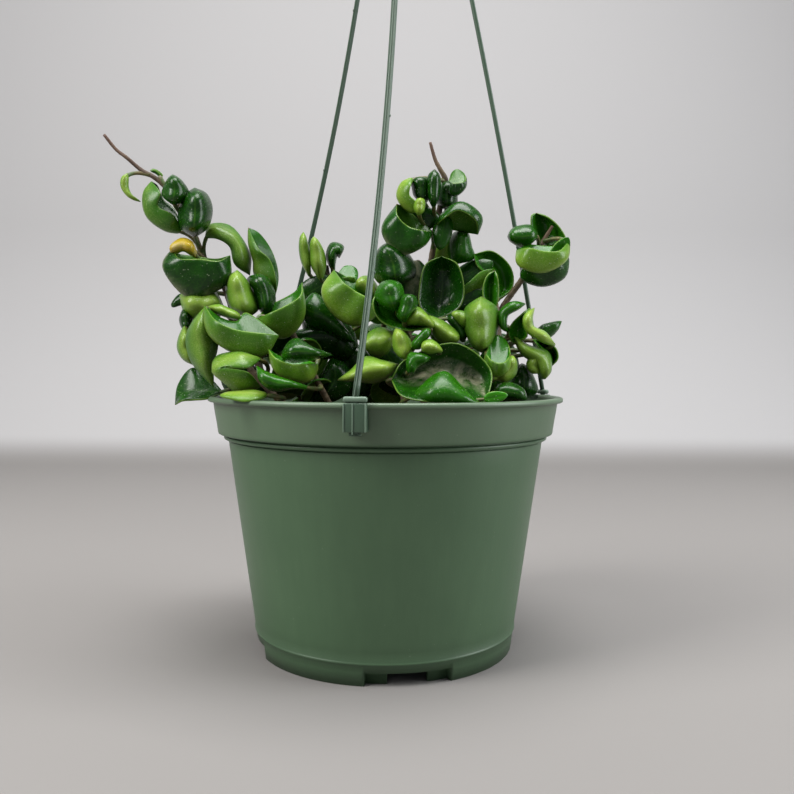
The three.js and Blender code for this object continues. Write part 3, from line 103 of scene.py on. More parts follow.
HUB_SIDES = 48
HOOK_SIDES = 24
HOOK_STEPS = 60
STRAND_SIDES = 36
STRAND_STEPS = 60
NUB_STEPS = (9, 21, 35, 47)

# Soil, stems and leaves
SOIL_TOP_Z = 98.0
SOIL_MOUND = 1.6
SOIL_RINGS, SOIL_SIDES = 46, 140
SOIL_EDGE_GAP = 3.5
CHIP_COUNT, CHIP_SEED, CHIP_SIDES = 240, 5, 7
CHIP_SPREAD = 66
COLLAR_Z = SOIL_TOP_Z + SOIL_MOUND + 2.4
STEM_HOLE_DEPTH = 12.0
STEM_RADIUS = 1.3
PETIOLE_RADIUS = 0.95
LEAF_THICK = 1.7
LEAF_WAVE = 0.08
LEAF_BLUNTNESS = 0.6
CREASE_DEPTH = 0.28
RIB_HEIGHT = 0.45
RIB_REACH = 0.07
LEAF_ROWS = 34
LEAF_LOOP = 36
PAIR_SPACING = 9.5
STEM_NODE_SPACING = 5.5
STEM_STEPS, STEM_SIDES = 140, 12
PETIOLE_STEPS, PETIOLE_SIDES = 14, 8

# The plant's front is laid out as it lines up, seen from this point, on the plane y = 0.
EYE = np.array([2.4, -362.3, 123.1])

# The camera, at the photograph's place
EYE_YAW = 0.413
EYE_PITCH = -2.135
EYE_ROLL = 0.245
FOCAL_PX = 807.0
FRAME_PX = 794.0
SENSOR_WIDTH = 36.0

# Lamps, in metres and watts: place, size, power and colour, all aimed at one point
LAMP_TARGET = (0, 0, 0.13)
LAMPS = {
    "window": ((-0.9, -0.45, 0.9), (0.5, 0.9), 20, (1.0, 0.99, 0.97)),
    "fill": ((1.0, -0.15, 0.5), (0.6, 0.8), 11, (0.95, 0.98, 1.0)),
    "top": ((0.1, -0.05, 1.25), (0.8, 0.8), 21, (1.0, 1.0, 1.0)),
}


# Meshes


class Shell:
    """Points, faces, a material number and per-point leaf data for one part of a piece."""

    def __init__(self, points, faces, material=0, data=None):
        self.points = np.asarray(points, float).reshape(-1, 3)
        self.faces = [np.asarray(f, int) for f in faces]
        self.material = material
        self.data = data or {}


def make_piece(name, shells, materials, replaces=()):
    """One mesh object at the origin from shells in millimetres, riding on the root body."""
    points = np.concatenate([s.points for s in shells]) * MM
    starts = np.cumsum([0] + [len(s.points) for s in shells])
    loops, sizes, numbers = [], [], []
    for shell, start in zip(shells, starts):
        for faces in shell.faces:
            loops.append((faces + start).ravel())
            sizes.append(np.full(len(faces), faces.shape[1]))
            numbers.append(np.full(len(faces), shell.material))
    loops, sizes, numbers = (np.concatenate(part) for part in (loops, sizes, numbers))
    mesh = bpy.data.meshes.new(name)
    mesh.vertices.add(len(points))
    mesh.vertices.foreach_set("co", points.ravel())
    mesh.loops.add(len(loops))
    mesh.loops.foreach_set("vertex_index", loops.astype(np.int32))
    mesh.polygons.add(len(sizes))
    mesh.polygons.foreach_set("loop_start", (np.cumsum(sizes) - sizes).astype(np.int32))
    mesh.polygons.foreach_set("material_index", numbers.astype(np.int32))
    mesh.polygons.foreach_set("use_smooth", np.ones(len(sizes), bool))
    mesh.update(calc_edges=True)
    for key in sorted({key for s in shells for key in s.data}):
        blank = [s.data.get(key, np.zeros((len(s.points), 3))) for s in shells]
        attribute = mesh.attributes.new(key, "FLOAT_VECTOR", "POINT")
        attribute.data.foreach_set("vector", np.concatenate(blank).ravel())
    for material in materials:
        mesh.materials.append(material)
    piece = bpy.data.objects.new(name, mesh)
    bpy.context.scene.collection.objects.link(piece)
    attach(piece, "root")
    if replaces:
        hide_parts(*replaces)


def ring_faces(rings, sides):
    """Quads between neighbouring closed rings, facing out of (ring way) x (path way)."""
    i, j = np.meshgrid(np.arange(rings - 1), np.arange(sides), indexing="ij")
    k = (j + 1) % sides
    corners = [i * sides + j, i * sides + k, (i + 1) * sides + k, (i + 1) * sides + j]
    return np.stack(corners, -1).reshape(-1, 4)


def closed_rings(rings, low_pole, high_pole, material=0, data=None):
    """A closed shell: rings (n, m, 3) along a path, each end drawn together in a pole."""
    count, sides = rings.shape[:2]
    points = np.concatenate([rings.reshape(-1, 3), [low_pole], [high_pole]])
    j = np.arange(sides)
    k = (j + 1) % sides
    low, high = count * sides, count * sides + 1
    last = (count - 1) * sides
    caps = np.concatenate([
        np.stack([np.full(sides, low), k, j], -1),
        np.stack([np.full(sides, high), last + j, last + k], -1),
    ])
    return Shell(points, [ring_faces(count, sides), caps], material, data)


def unit(v):
    """Vectors scaled to length 1."""
    return v / np.maximum(np.linalg.norm(v, axis=-1, keepdims=True), 1e-12)


def around(count):
    """Angles at even steps of a full turn."""
    return np.arange(count) / count * 2 * math.pi


def tube(path, radii, sides, material=0, data=None):
    """Rings of the given radius round a path, turned from one fixed sideways direction."""
    way = unit(np.gradient(path, axis=0))
    steady = np.eye(3)[np.argmin(np.abs(way).max(axis=0))]
    first = unit(np.cross(way, steady))
    second = np.cross(way, first)
    turn = around(sides)[None, :, None]
    radii = np.broadcast_to(radii, len(path))[:, None, None]
    spokes = np.cos(turn) * first[:, None] + np.sin(turn) * second[:, None]
    return closed_rings(path[:, None] + radii * spokes, path[0], path[-1], material, data)


def swept(path, section, width_way):
    """A closed section (m, 2) carried along a path, its first axis kept along width_way."""
    way = unit(np.gradient(path, axis=0))
    first = unit(width_way - (way @ width_way)[:, None] * way)
    second = np.cross(way, first)
    rings = path[:, None] + section[None, :, :1] * first[:, None] + section[None, :, 1:] * second[:, None]
    return closed_rings(rings, path[0], path[-1])


def turned(profile, sides):
    """A profile of (radius, z), from the axis and back to it, turned round the Z axis."""
    profile = np.asarray(profile, float)
    inner = profile[1:-1]
    rings = np.stack([
        inner[:, :1] * np.cos(around(sides)),
        inner[:, :1] * np.sin(around(sides)),
        np.broadcast_to(inner[:, 1:], (len(inner), sides)),
    ], -1)
    return closed_rings(rings, [0, 0, profile[0][1]], [0, 0, profile[-1][1]])


def rounded_block(size, out, z, azimuth, across=0.0, round_by=0.4, material=0):
    """A block at the front of the pot with rounded edges, turned to its azimuth.

    Its section across and outwards is a rounded rectangle, drawn in by a quarter circle at
    both ends of its height.
    """
    wide, deep, high = size
    corner = min(round_by, wide / 2 - 0.01, deep / 2 - 0.01, high / 2 - 0.01)
    quarter = np.linspace(0, math.pi / 2, 5)
    turns = np.concatenate([quarter + k * math.pi / 2 for k in range(4)])
    centres = np.repeat([[1, 1], [-1, 1], [-1, -1], [1, -1]], len(quarter), axis=0)
    top = high / 2 - corner
    rise = np.concatenate([-top - corner * np.cos(quarter), top + corner * np.sin(quarter)])
    draw = np.concatenate([corner * np.sin(quarter), corner * np.cos(quarter)])
    section = centres * [wide / 2 - corner, deep / 2 - corner]
    rounding = np.stack([np.cos(turns), np.sin(turns)], -1)
    flat = section[None] + rounding[None] * draw[:, None, None]
    levels = np.broadcast_to(rise[:, None, None], flat.shape[:2] + (1,))
    rings = np.concatenate([flat, levels], -1) + [across, -out, z]
    poles = ([across, -out, z - high / 2], [across, -out, z + high / 2])
    return closed_rings(*(rotated(part, azimuth) for part in (rings, *poles)), material)


def rotated(points, azimuth):
    """Points turned round the Z axis by an azimuth in degrees."""
    a = math.radians(azimuth)
    turn = np.array([[math.cos(a), math.sin(a), 0], [-math.sin(a), math.cos(a), 0], [0, 0, 1]])
    return np.asarray(points, float) @ turn


# Paths


def through(points, u):
    """Catmull-Rom curve through the points, at u from 0 at the first to 1 at the last."""
    p = np.asarray(points, float)
    p = np.concatenate([[2 * p[0] - p[1]], p, [2 * p[-1] - p[-2]]])
    t = np.clip(u, 0, 1) * (len(p) - 3)
    i = np.minimum(t.astype(int), len(p) - 4)
    w = (t - i)[..., None]
    a, b, c, d = p[i], p[i + 1], p[i + 2], p[i + 3]
    square, cube = 2 * a - 5 * b + 4 * c - d, 3 * b - a - 3 * c + d
    return 0.5 * (2 * b + (c - a) * w + square * w**2 + cube * w**3)


def steps_of(curve):
    """The length of each step of a polyline."""
    return np.linalg.norm(np.diff(curve, axis=0), axis=1)


def looked_up(places, run, curve):
    """The points of a polyline at the given places, where run holds the place of each point."""
    return np.stack([np.interp(places, run, curve[:, k]) for k in range(3)], -1)


def spaced(curve, count):
    """A polyline resampled at even steps of length."""
    run = np.concatenate([[0], np.cumsum(steps_of(curve))])
    return looked_up(np.linspace(0, run[-1], count), run, curve)


def spline(points, count=400):
    """Catmull-Rom curve through the points, sampled evenly by length."""
    return spaced(through(points, np.linspace(0, 1, count)), count)


def bent(start, middle, end, count):
    """Quadratic Bezier curve, start * (1-t)^2 + middle * 2t(1-t) + end * t^2."""
    t = np.linspace(0, 1, count)[:, None]
    return (1 - t) ** 2 * start + 2 * t * (1 - t) * middle + t**2 * end


# Leaves


def seat(x, z, back):
    """The point this far behind the middle plane that lines up with its (x, z), seen from EYE."""
    reach = (back - EYE[1]) / -EYE[1]
    return np.array([EYE[0] + (x - EYE[0]) * reach, back, EYE[2] + (z - EYE[2]) * reach])


def outline(u):
    """Half-width along the leaf, u^0.42 (1-u)^0.62 scaled to 1 at its widest."""
    rise, fall = 0.42, 0.62
    widest = rise / (rise + fall)
    u = np.clip(u, 0, 1)
    return u**rise * (1 - u) ** fall / (widest**rise * (1 - widest) ** fall)


def leaf_frame(aim, lean, face):
    """Directions along the midrib, out of the upper side and across, from three angles."""
    a, l, f = (math.radians(value) for value in (aim, lean, face))
    along = np.array([math.cos(l) * math.cos(a), -math.sin(l), math.cos(l) * math.sin(a)])
    front = np.array([0.0, -1.0, 0.0])
    flat = unit(front - (front @ along) * along)
    side = np.cross(flat, along)
    upper = math.cos(f) * flat + math.sin(f) * side
    return along, upper, np.cross(upper, along)


class Leaf:
    """The middle surface of a leaf as a function of u along the midrib and v across it.

    The midrib turns by curl towards the upper side and by bend sideways, with tip added near
    its end. Across it the blade turns by cup from edge to edge, and its rim by lip more. The
    rim waves by LEAF_WAVE times the half-width. lop widens the half where v is above 0, and
    twist rolls the blade about its midrib.
    """

    def __init__(self, middle, directions, shape, phase):
        self.along, self.upper, self.across = directions
        self.upper_side = 1
        self.long, self.half, self.curl, self.cup, self.tip = shape[:5]
        self.bend, self.twist, self.lip, self.lop = shape[5:]
        self.phase = phase
        steps = 96
        ways = self.way((np.arange(steps) + 0.5) / steps)
        rib = np.concatenate([np.zeros((1, 3)), np.cumsum(ways * self.long / steps, axis=0)])
        self.rib = rib - rib[steps // 2] + middle

    def turns(self, u):
        """How far the midrib has turned upwards and sideways at u, in radians."""
        tip = math.radians(self.tip) * np.clip((u - 0.55) / 0.45, 0, None) ** 2
        return math.radians(self.curl) * (u - 0.5) + tip, math.radians(self.bend) * (u - 0.5)

    def way(self, u):
        """The direction of the midrib at u."""
        c, b = self.turns(np.asarray(u, float)[..., None])
        level = np.cos(c) * np.cos(b) * self.along + np.cos(c) * np.sin(b) * self.across
        return level + np.sin(c) * self.upper

    def rib_at(self, u):
        """The midrib's point at u."""
        places = np.clip(np.asarray(u, float), 0, 1) * (len(self.rib) - 1)
        return looked_up(places, np.arange(len(self.rib)), self.rib)

    def point(self, u, v):
        """The surface's point at u along the leaf and v across it."""
        c, b = self.turns(u[..., None])
        flat_side = -np.sin(b) * self.along + np.cos(b) * self.across
        level = -np.sin(c) * np.cos(b) * self.along - np.sin(c) * np.sin(b) * self.across
        flat_up = level + np.cos(c) * self.upper
        roll = math.radians(self.twist) * (u[..., None] - 0.5)
        side = np.cos(roll) * flat_side + np.sin(roll) * flat_up
        up = -np.sin(roll) * flat_side + np.cos(roll) * flat_up
        reach = outline(u)
        wide = self.half * (1 + self.lop * np.sign(v)) * reach
        parts = 16
        q = (np.arange(parts) + 0.5) / parts * np.abs(v)[..., None]
        cup = math.radians(self.cup / 2) * q * np.sqrt(reach)[..., None]
        turn = cup + math.radians(self.lip) * q**4
        out = np.cos(turn).mean(axis=-1) * np.abs(v) * wide
        rise = np.sin(turn).mean(axis=-1) * np.abs(v) * wide
        swing = np.sin(2.8 * math.pi * u + self.phase + np.where(v > 0, 0, 2.2))
        rise = rise + LEAF_WAVE * self.half * reach * v**2 * swing
        return self.rib_at(u) + (np.sign(v) * out)[..., None] * side + rise[..., None] * up


class DrawnLeaf:
    """The middle surface of a leaf drawn by its near rim, its midrib and its far rim.

    The three curves run from the base to the tip, and across the blade the surface is the
    parabola through them: near (v^2 - v) / 2 + rib (1 - v^2) + far (v^2 + v) / 2.
    upper_side is 1 where the surface normal is on the dark upper side, which dark puts on the
    hollow side (1) or on the bulging side (-1).
    """

    def __init__(self, places, depths, dark):
        base, tip = (seat(*place, depth) for place, depth in zip(places, depths[:2]))
        self.near, self.rib, self.far = (
            np.array([base, *[seat(*place, depth) for place in places[first:first + 3]], tip])
            for first, depth in zip((2, 5, 8), depths[2:]))
        self.long = steps_of(self.rib).sum()
        u, v = np.meshgrid(np.linspace(0.15, 0.85, 9), [0.0], indexing="ij")
        hollow = self.point(u, v - 1) + self.point(u, v + 1) - 2 * self.point(u, v)
        self.upper_side = dark * np.sign((surface_normal(self, u, v) * hollow).sum())

    def rib_at(self, u):
        """The midrib's point at u."""
        return through(self.rib, np.asarray(u, float))

    def way(self, u):
        """The direction of the midrib at u."""
        return unit(self.rib_at(min(u + 0.08, 1.0)) - self.rib_at(min(u, 0.92)))

    def point(self, u, v):
        """The surface's point at u along the leaf and v across it."""
        near, rib, far = (through(curve, u) for curve in (self.near, self.rib, self.far))
        v = v[..., None]
        return near * (v**2 - v) / 2 + rib * (1 - v**2) + far * (v**2 + v) / 2


def surface_normal(leaf, u, v, step=0.004):
    """Unit normal of a leaf's middle surface, from small steps along and across it."""
    inner_u, inner_v = np.clip(u, step, 1 - step), np.clip(v, -1 + step, 1 - step)
    du = leaf.point(inner_u + step, v) - leaf.point(inner_u - step, v)
    dv = leaf.point(u, inner_v + step) - leaf.point(u, inner_v - step)
    return unit(np.cross(du, dv))


def leaf_shell(leaf, look):
    """A closed blade round the leaf's middle surface.

    Each ring runs across the upper side and back under it: v = cos(a), and the point stands
    off the middle surface by half the thickness times sin(a)^LEAF_BLUNTNESS, which leaves a blunt rim,
    with a crease on the midrib above and a rib below it.
    """
    u = 0.5 - 0.5 * np.cos(math.pi * (np.arange(LEAF_ROWS) + 0.6) / (LEAF_ROWS + 0.2))
    u, angle = np.meshgrid(u, around(LEAF_LOOP), indexing="ij")
    v, side = np.cos(angle), np.sin(angle)
    round_off = np.minimum(1, outline(u) * 1.6)
    stand = 0.5 * LEAF_THICK * np.sign(side) * np.abs(side) ** LEAF_BLUNTNESS * round_off
    rib = np.exp(-((v / RIB_REACH) ** 2)) * round_off * (1 - u) ** 0.5
    upper = side * leaf.upper_side
    stand = stand - leaf.upper_side * rib * np.where(upper > 0, CREASE_DEPTH, RIB_HEIGHT)
    rings = leaf.point(u, v) + stand[..., None] * surface_normal(leaf, u, v)
    place = np.stack([u, v, upper], -1).reshape(-1, 3)
    place = np.concatenate([place, [[0, 0, 0]], [[1, 0, 0]]])
    data = {"leaf": place, "look": np.broadcast_to(look, place.shape)}
    return closed_rings(rings, leaf.rib_at(0.0), leaf.rib_at(1.0), data=data)


# A leaf's lightness is partly its own tone and partly painted shade: it is low for leaves that sit in shadow.
# The stems that show at the front. path gives the stem's x, z and depth, and bare is the
# length of its dry tip. Each leaf is one row, and it ends with how light the leaf is, from 0
# for the darkest, and with how scarred it is where it has scars.
# A shaped row begins with the middle's x, z and depth, then aim, lean, face, length,
# half-width, curl, cup, tip, bend, twist, lip and lop.
# A drawn row begins with x and z of the base, of the tip, of three points of the near rim, of
# three of the midrib and of three of the far rim, all as they line up, then the depths of base,
# tip, near rim, midrib and far rim, and which side is dark.
FRONT_STEMS = {
    "stem_left_tall": {
        "root": (-44, -8), "bare": 36,
        "path": [(-58, 125, -6), (-66, 140, -2), (-70, 152, 0), (-73, 160, 1), (-77, 166, 2),
                 (-81.3, 171.4, 2), (-85.1, 180.5, 2), (-90, 192, 3), (-98.4, 202.8, 3),
                 (-104, 207.2, 2), (-107.5, 209, 2), (-110.3, 211, 2), (-115.4, 215.4, 1),
                 (-120, 218.9, 1), (-125.2, 225.3, 0)],
        "shaped": [
            (-102, 209, 3, 150, 0, 60, 6, 1.2, 90, 40, 0, 0, 0, 0, 0, 0.3),
        ],
        "drawn": [
            (-91, 183, -104.4, 205, -94.5, 190, -101.5, 194, -100.5, 200, -98.5, 184.2, -106, 190,
             -107.4, 198.5, -94, 192.5, -99, 197, -101.5, 203, -2, 0, -8, -3, 5, 1, 0.15),
            (-94.5, 194.8, -94.9, 208, -99.5, 198.5, -99.2, 202, -97.3, 205.5, -94.5, 197.5, -94, 201.5,
             -94.5, 205.5, -89, 197, -87.9, 200.5, -90.8, 205, -6, -6, -6, -13, -6, -1, 0.12),
            (-85.3, 180.5, -85.3, 202.3, -91.7, 184.5, -92.6, 191.5, -90, 198.5, -85.5, 185, -85, 191.5,
             -85, 198, -79.5, 184.8, -77.4, 192.5, -79.7, 199.3, -4, -6, -4, -16, -4, -1, 0),
            (-114.8, 207.9, -109.2, 195.9, -117.4, 206.2, -117.6, 202.5, -114.8, 198.7, -116.3, 206,
             -116.4, 202.2, -114, 198.5, -114.7, 205.5, -114.6, 201.8, -112.8, 198.2, 0, 0, 0, -2, 0, 1,
             0.85),
            (-80.5, 180, -60.8, 163.5, -75, 179.5, -69.8, 176, -67.7, 168.5, -76.5, 183.8, -67.8, 179.5,
             -63.8, 171, -78.5, 186, -69, 185.2, -61, 173.8, 0, 4, -4, -3, 3, 1, 0.3),
            (-95, 175, -69.6, 172.5, -92, 170.9, -83, 170.9, -75, 170, -99, 166.5, -88, 154.2, -71.5,
             160, -92, 173, -84, 172, -76, 171, -12, -10, -20, -14, -4, -1, 0.1, 0.45),
            (-84.5, 171.3, -96, 173.5, -87.5, 172.8, -90.5, 174.3, -94, 173, -87, 175.5, -91, 176.8,
             -95, 175.5, -86.3, 178, -91, 180, -95.6, 177, -8, -14, -10, -16, -10, -1, 1.5, 0.5),
            (-50, 152, -61.5, 184.8, -49, 160, -51.5, 170, -57, 175.6, -57.5, 163, -58.5, 170, -60.5,
             177, -48, 163, -50.5, 173.5, -56, 181.8, 2, 6, -6, 0, 8, 1, 0.35),
            (-61, 145.5, -66.5, 166, -68.5, 148, -71.4, 155, -70.7, 162, -64, 149, -66, 156, -67, 162,
             -57, 149, -59.5, 156, -62.3, 161.5, -12, -12, -12, -21, -12, 1, 0.65),
            (-54, 146, -57.5, 164.5, -57.8, 150, -60, 157, -62, 162, -54, 149, -55, 156, -57, 161.5,
             -50, 149, -49.8, 156, -53, 162.5, -8, -8, -8, -17, -8, -1, 0.1),
            (-72, 147, -92.3, 154.5, -76, 156, -82, 158, -88, 157.5, -76, 151, -82, 150.5, -88, 151.5,
             -77, 144, -84, 142.5, -90, 147, -10, -6, -8, -17, -8, 1, 0.75),
            (-89.5, 153.5, -95.8, 149.9, -91.3, 155.3, -93.3, 154.3, -95, 152, -91, 152.5, -93, 151.5,
             -94.8, 150.4, -91.2, 150.8, -93, 150.2, -94.6, 149.8, -2, 0, -1, -3, -1, -1, 0.1),
            (-50, 110, -70, 127, -54, 118, -60, 124, -66, 128, -57, 113, -63, 118, -68, 123, -60, 108.5,
             -70, 110, -74, 118, 0, 0, 0, -6, 0, -1, 0.05),
            (-56, 127, -44, 147, -61, 134, -58, 142, -50, 147, -54, 132, -50, 139, -47, 144, -48, 129,
             -42, 136, -41, 143, 2, 4, 2, -4, 2, -1, 0.05),
        ],
    },
    "stem_left_front": {
        "root": (-36, -25), "bare": 0,
        "path": [(-52, 112, -26), (-64, 126, -24), (-74, 140, -20)],
        "shaped": [
            (-64, 110.5, -55, 180, 0, 110, 18, 5, 10, 30, 0, 0, 0, 0, 0, 0.9),
        ],
        "drawn": [
            (-80.5, 149.5, -77.3, 113.7, -87, 142, -89.6, 134, -86.5, 124, -83, 142, -82.5, 133, -81,
             123, -78.5, 141, -75.2, 133.5, -77.3, 123, -24, -24, -24, -33, -26, 1, 0.3),
            (-90, 141, -86, 123.5, -92.6, 136, -93.3, 131, -91, 126.5, -90, 136, -90, 131, -88, 126.5,
             -87, 136, -86, 131, -85, 127, -14, -14, -14, -21, -14, 1, 0.6),
            (-90.5, 148, -89, 138.5, -92, 145, -92.2, 143, -91.3, 140.5, -90, 146, -89.5, 143, -89.5,
             140.5, -88, 146, -86.8, 143, -88, 140, -10, -10, -10, -15, -10, -1, 0),
            (-81, 150, -48, 137, -76, 143.5, -67, 139.5, -56, 138, -78.5, 138, -68, 130, -56, 128.5,
             -74, 145, -67, 143.3, -62, 147, -28, -38, -44, -38, -26, 1, 0.45),
            (-79.5, 149.4, -65, 144.5, -76, 147, -72, 145.3, -68, 144.3, -75, 148.7, -71, 147, -67,
             145.5, -75, 150.5, -70.5, 149, -66.5, 147, -22, -22, -22, -26, -22, 1, 0.7),
            (-56, 126, -56, 114, -62, 122.3, -72.5, 122.5, -62, 120.6, -66, 127, -77, 121.5, -66, 114,
             -66, 129.4, -76.5, 126, -66, 111, -44, -46, -54, -50, -40, 1, 0.45),
            (-73, 111.5, -94.6, 105.6, -80, 108.7, -87, 107.9, -92, 107.4, -79, 111.2, -85, 112, -91,
             110, -79, 118, -86.8, 122.4, -93, 115, -18, -18, -24, -20, -14, 1, 0.15),
        ],
    },
    "stem_left_middle": {
        "root": (-21, -20), "bare": 0,
        "path": [(-30, 115, -22), (-38, 130, -22), (-44, 142, -18)],
        "shaped": [],
        "drawn": [
            (-57.5, 144.5, -37.6, 160.8, -52, 147, -44.5, 150.5, -38.3, 155, -54.5, 139.5, -45, 136.8,
             -37.5, 145.5, -53, 150, -47, 153, -41, 156.5, -22, -16, -32, -24, -12, 1, 0.45),
            (-38, 150, -14, 134, -32, 156, -25, 149.8, -19, 141, -34, 148, -26.5, 144.5, -19, 138.5,
             -35, 141, -28, 139, -20, 135, -6, -6, -6, -12, -6, -1, 0.2),
            (-45, 138, -16, 137, -40, 139, -30, 141, -22, 139, -39, 136, -30, 136, -22, 136, -39, 129,
             -30, 126, -21, 129, 0, 0, 0, -5, 0, -1, 0.05),
            (-46.5, 128, -24, 128.3, -44, 133.5, -39.5, 135.6, -33, 131.5, -43, 129.5, -37.5, 130, -31,
             129.3, -43, 125, -37, 125.3, -30, 127, -46, -46, -46, -56, -46, -1, 0.15),
            (-31, 124.5, -52.6, 130.8, -36, 124.3, -43, 124.3, -49.5, 127, -34, 118, -41.5, 117, -49,
             121.5, -36, 126, -43, 126, -49, 128.5, -44, -44, -54, -48, -38, 1, 0.9),
            (-34.5, 113.5, -58, 123.4, -42, 116.3, -49, 118.8, -55, 121.3, -42, 115, -49.5, 116, -55.5,
             118.5, -42, 113.3, -50, 112, -56, 116, -52, -52, -52, -60, -52, -1, 0.45),
            (-38, 148, -12, 126, -32, 152, -22, 148, -14, 138, -33, 142, -25, 138, -17, 131, -36, 136,
             -29, 129, -21, 124.5, 2, 4, 4, -4, 4, -1, 0),
            (-34, 107, -24, 127, -31.5, 113, -29, 118, -26.5, 123.5, -27, 111, -23, 117, -23, 123, -22,
             108, -15, 115, -18, 124, -8, -6, -8, -14, -8, -1, 0),
        ],
    },
    "stem_behind_left": {
        "root": (-18, 15), "bare": 0,
        "path": [(-22, 130, 20), (-25, 155, 24), (-27, 168, 26)],
        "shaped": [
            (-31, 158, 22, 30, 0, 0, 20, 6.5, -40, -60, 0, 0, 0, 0, 0, 0.1),
        ],
        "drawn": [
            (-34, 163, -37, 183, -37.5, 169, -38.8, 175, -38.5, 180, -35.5, 168, -36.5, 174, -37, 179.5,
             -34, 168, -34.2, 174, -35.5, 179, 24, 24, 24, 20, 24, 1, 0.6),
            (-29, 161, -32.5, 181, -33.5, 168, -34, 174, -33.8, 178, -30.5, 168, -31, 174, -31.8, 178.5,
             -27, 167, -27.5, 173, -29.8, 178, 22, 22, 22, 17, 22, 1, 0.8),
            (-23.5, 165, -21, 171.5, -26.9, 172, -24.6, 178.2, -19.2, 176.8, -24.5, 171, -23, 175,
             -20.8, 174.6, -22.8, 169.5, -22.3, 172, -21.8, 172.6, 26, 26, 26, 20, 26, -1, 0.1),
            (-4, 147, -23.3, 166.3, -8, 153.5, -13.5, 156.8, -19, 160.8, -13, 142.3, -22.5, 146.5, -28,
             156.5, -8, 157, -13, 160.5, -19, 164, -12, -12, -24, -18, -4, 1, 0.7),
            (-22, 164, -14, 161.5, -20, 163, -16.5, 163.5, -14.5, 163, -20, 161.5, -16.5, 161, -14,
             161.5, -19, 167.8, -15, 168, -12.8, 165.5, 0, 0, -5, -2, 5, 1, 0.6),
            (-3, 154, -12, 162, -4, 159, -7, 163, -10, 163.5, -5.5, 156.5, -9, 159, -12, 161, -7, 154,
             -11, 155, -13.5, 158.5, -2, -2, -2, -9, -2, 1, 0.8),
            (-16, 106, -14, 134, -22, 112, -24, 121, -20, 130, -14, 113, -13, 121, -13, 129, -7, 111,
             -4, 120, -8, 129, 6, 6, 6, -2, 6, -1, 0),
        ],
    },
    "stem_middle_tall": {
        "root": (17, -5), "bare": 17,
        "path": [(17, 125, -4), (18, 150, 0), (20, 170.4, 2), (21.8, 180.7, 2), (23, 190, 2),
                 (25, 200, 2), (26, 206.5, 1), (23.9, 210.8, 0), (21.8, 214.6, 0), (20.5, 218.5, 0),
                 (19.3, 222.8, 0)],
        "shaped": [
            (17.5, 189.5, -4, 0, 0, 0, 13, 5.5, -50, -60, 0, 0, 0, 0, 0, 0.1),
            (25, 183, -8, -100, 0, 0, 15, 4.5, -20, -80, 0, 0, 0, 0, 0, 0.3),
            (25, 175, 5, 80, 0, 180, 13, 4.5, 20, 60, 0, 0, 0, 0, 0, 0.6),
            (12, 158, -6, -95, 0, 0, 26, 7, -40, -80, 0, 0, 0, 0, 0, 0.1, 0.9),
        ],
        "drawn": [
            (12, 206.5, 16.5, 193, 10.8, 204, 10.2, 199.8, 12.8, 197, 7.5, 204.2, 5.8, 198.5, 10.5,
             193.3, 7, 205, 5.4, 199, 9.5, 192.5, -8, -12, -14, -10, -4, 1, 0.75),
            (14.2, 191, 15.6, 198, 12.6, 192.8, 12.2, 195.2, 13.4, 197.4, 14.6, 193, 14.6, 195.2, 14.8,
             197, 16.3, 192.3, 17, 195.2, 16.8, 197.2, -12, -12, -12, -16, -12, 1, 1),
            (17, 196, 14.3, 207.5, 12.5, 199, 11.3, 203, 10.6, 206.3, 15.3, 198.5, 15.2, 202.5, 14.6,
             206, 18.8, 198, 19.4, 203, 18.4, 206.8, -4, -4, -4, -10, -4, -1, 0),
            (21, 194, 21.3, 211, 18.8, 198, 18.3, 203, 18.5, 208, 21, 198, 21, 203, 21.3, 207.5, 23,
             198.5, 24, 203.5, 23.5, 208, -8, -8, -8, -12, -8, -1, 0),
            (27, 193, 27, 206, 22.5, 196, 22.6, 200, 24, 204, 27, 196, 27, 200, 27, 204, 31, 195.3,
             31.4, 200, 30.5, 204, 2, 2, 2, -5, 2, -1, 0),
            (27.8, 204, 35.2, 205.8, 29.3, 204.8, 31, 204.9, 33.3, 205.2, 28.2, 201, 31, 200.3, 34.4,
             203, 28.5, 208.8, 31.3, 211.2, 34.8, 208.8, -2, -4, -10, -6, 2, -1, 0.05),
            (20.5, 183.5, 4.6, 195.7, 16, 184, 9.6, 185.9, 5, 190.5, 16, 177.3, 6, 174, -1.4, 184, 17,
             187, 12.5, 190.5, 8.5, 194, -6, -10, -20, -14, -4, -1, 0.15, 0.6),
            (21.8, 186, 40.8, 182.2, 25.5, 189.2, 32, 192.8, 39.6, 188.6, 26, 191.5, 33.5, 195.4, 41.6,
             190, 26, 184.8, 31.5, 183.8, 37, 182.8, -6, -8, -16, -8, 0, -1, 0.15),
            (4.5, 159.5, 1.5, 179, -3, 160.3, -6.5, 166.5, -4, 174.5, 4, 163, 3, 169, 0.5, 175.5, 12.3,
             163, 12.9, 168.5, 9, 174.5, -8, -8, -8, -20, -8, -1, 0),
            (29, 169, 36, 183.3, 27.5, 175, 28, 180, 31, 183.5, 33, 173, 33.5, 178, 34, 182, 39, 171.5,
             38, 177, 37, 181.5, 2, 4, 4, -4, 2, -1, 0.45),
            (23, 144.3, 24.6, 172.6, 15.3, 149.5, 14.8, 158.5, 17.3, 168.6, 24, 151, 25, 159, 25, 167,
             32.6, 149.5, 34.9, 158, 32, 168.8, -14, -14, -16, -8, -16, 1, 0),
            (18, 110, 30, 138, 15, 119, 18, 129, 24, 136, 24, 117, 28, 125, 29, 132, 33, 113, 37, 122,
             36, 132, 4, 6, 4, -5, 4, -1, 0),
            (15, 110, -3, 136, 16, 120, 12, 129, 4, 135, 9, 117, 4, 124, -1, 131, 2, 111, -6, 118, -6,
             129, 2, 4, 2, -7, 2, -1, 0),
        ],
    },
    "stem_front_middle": {
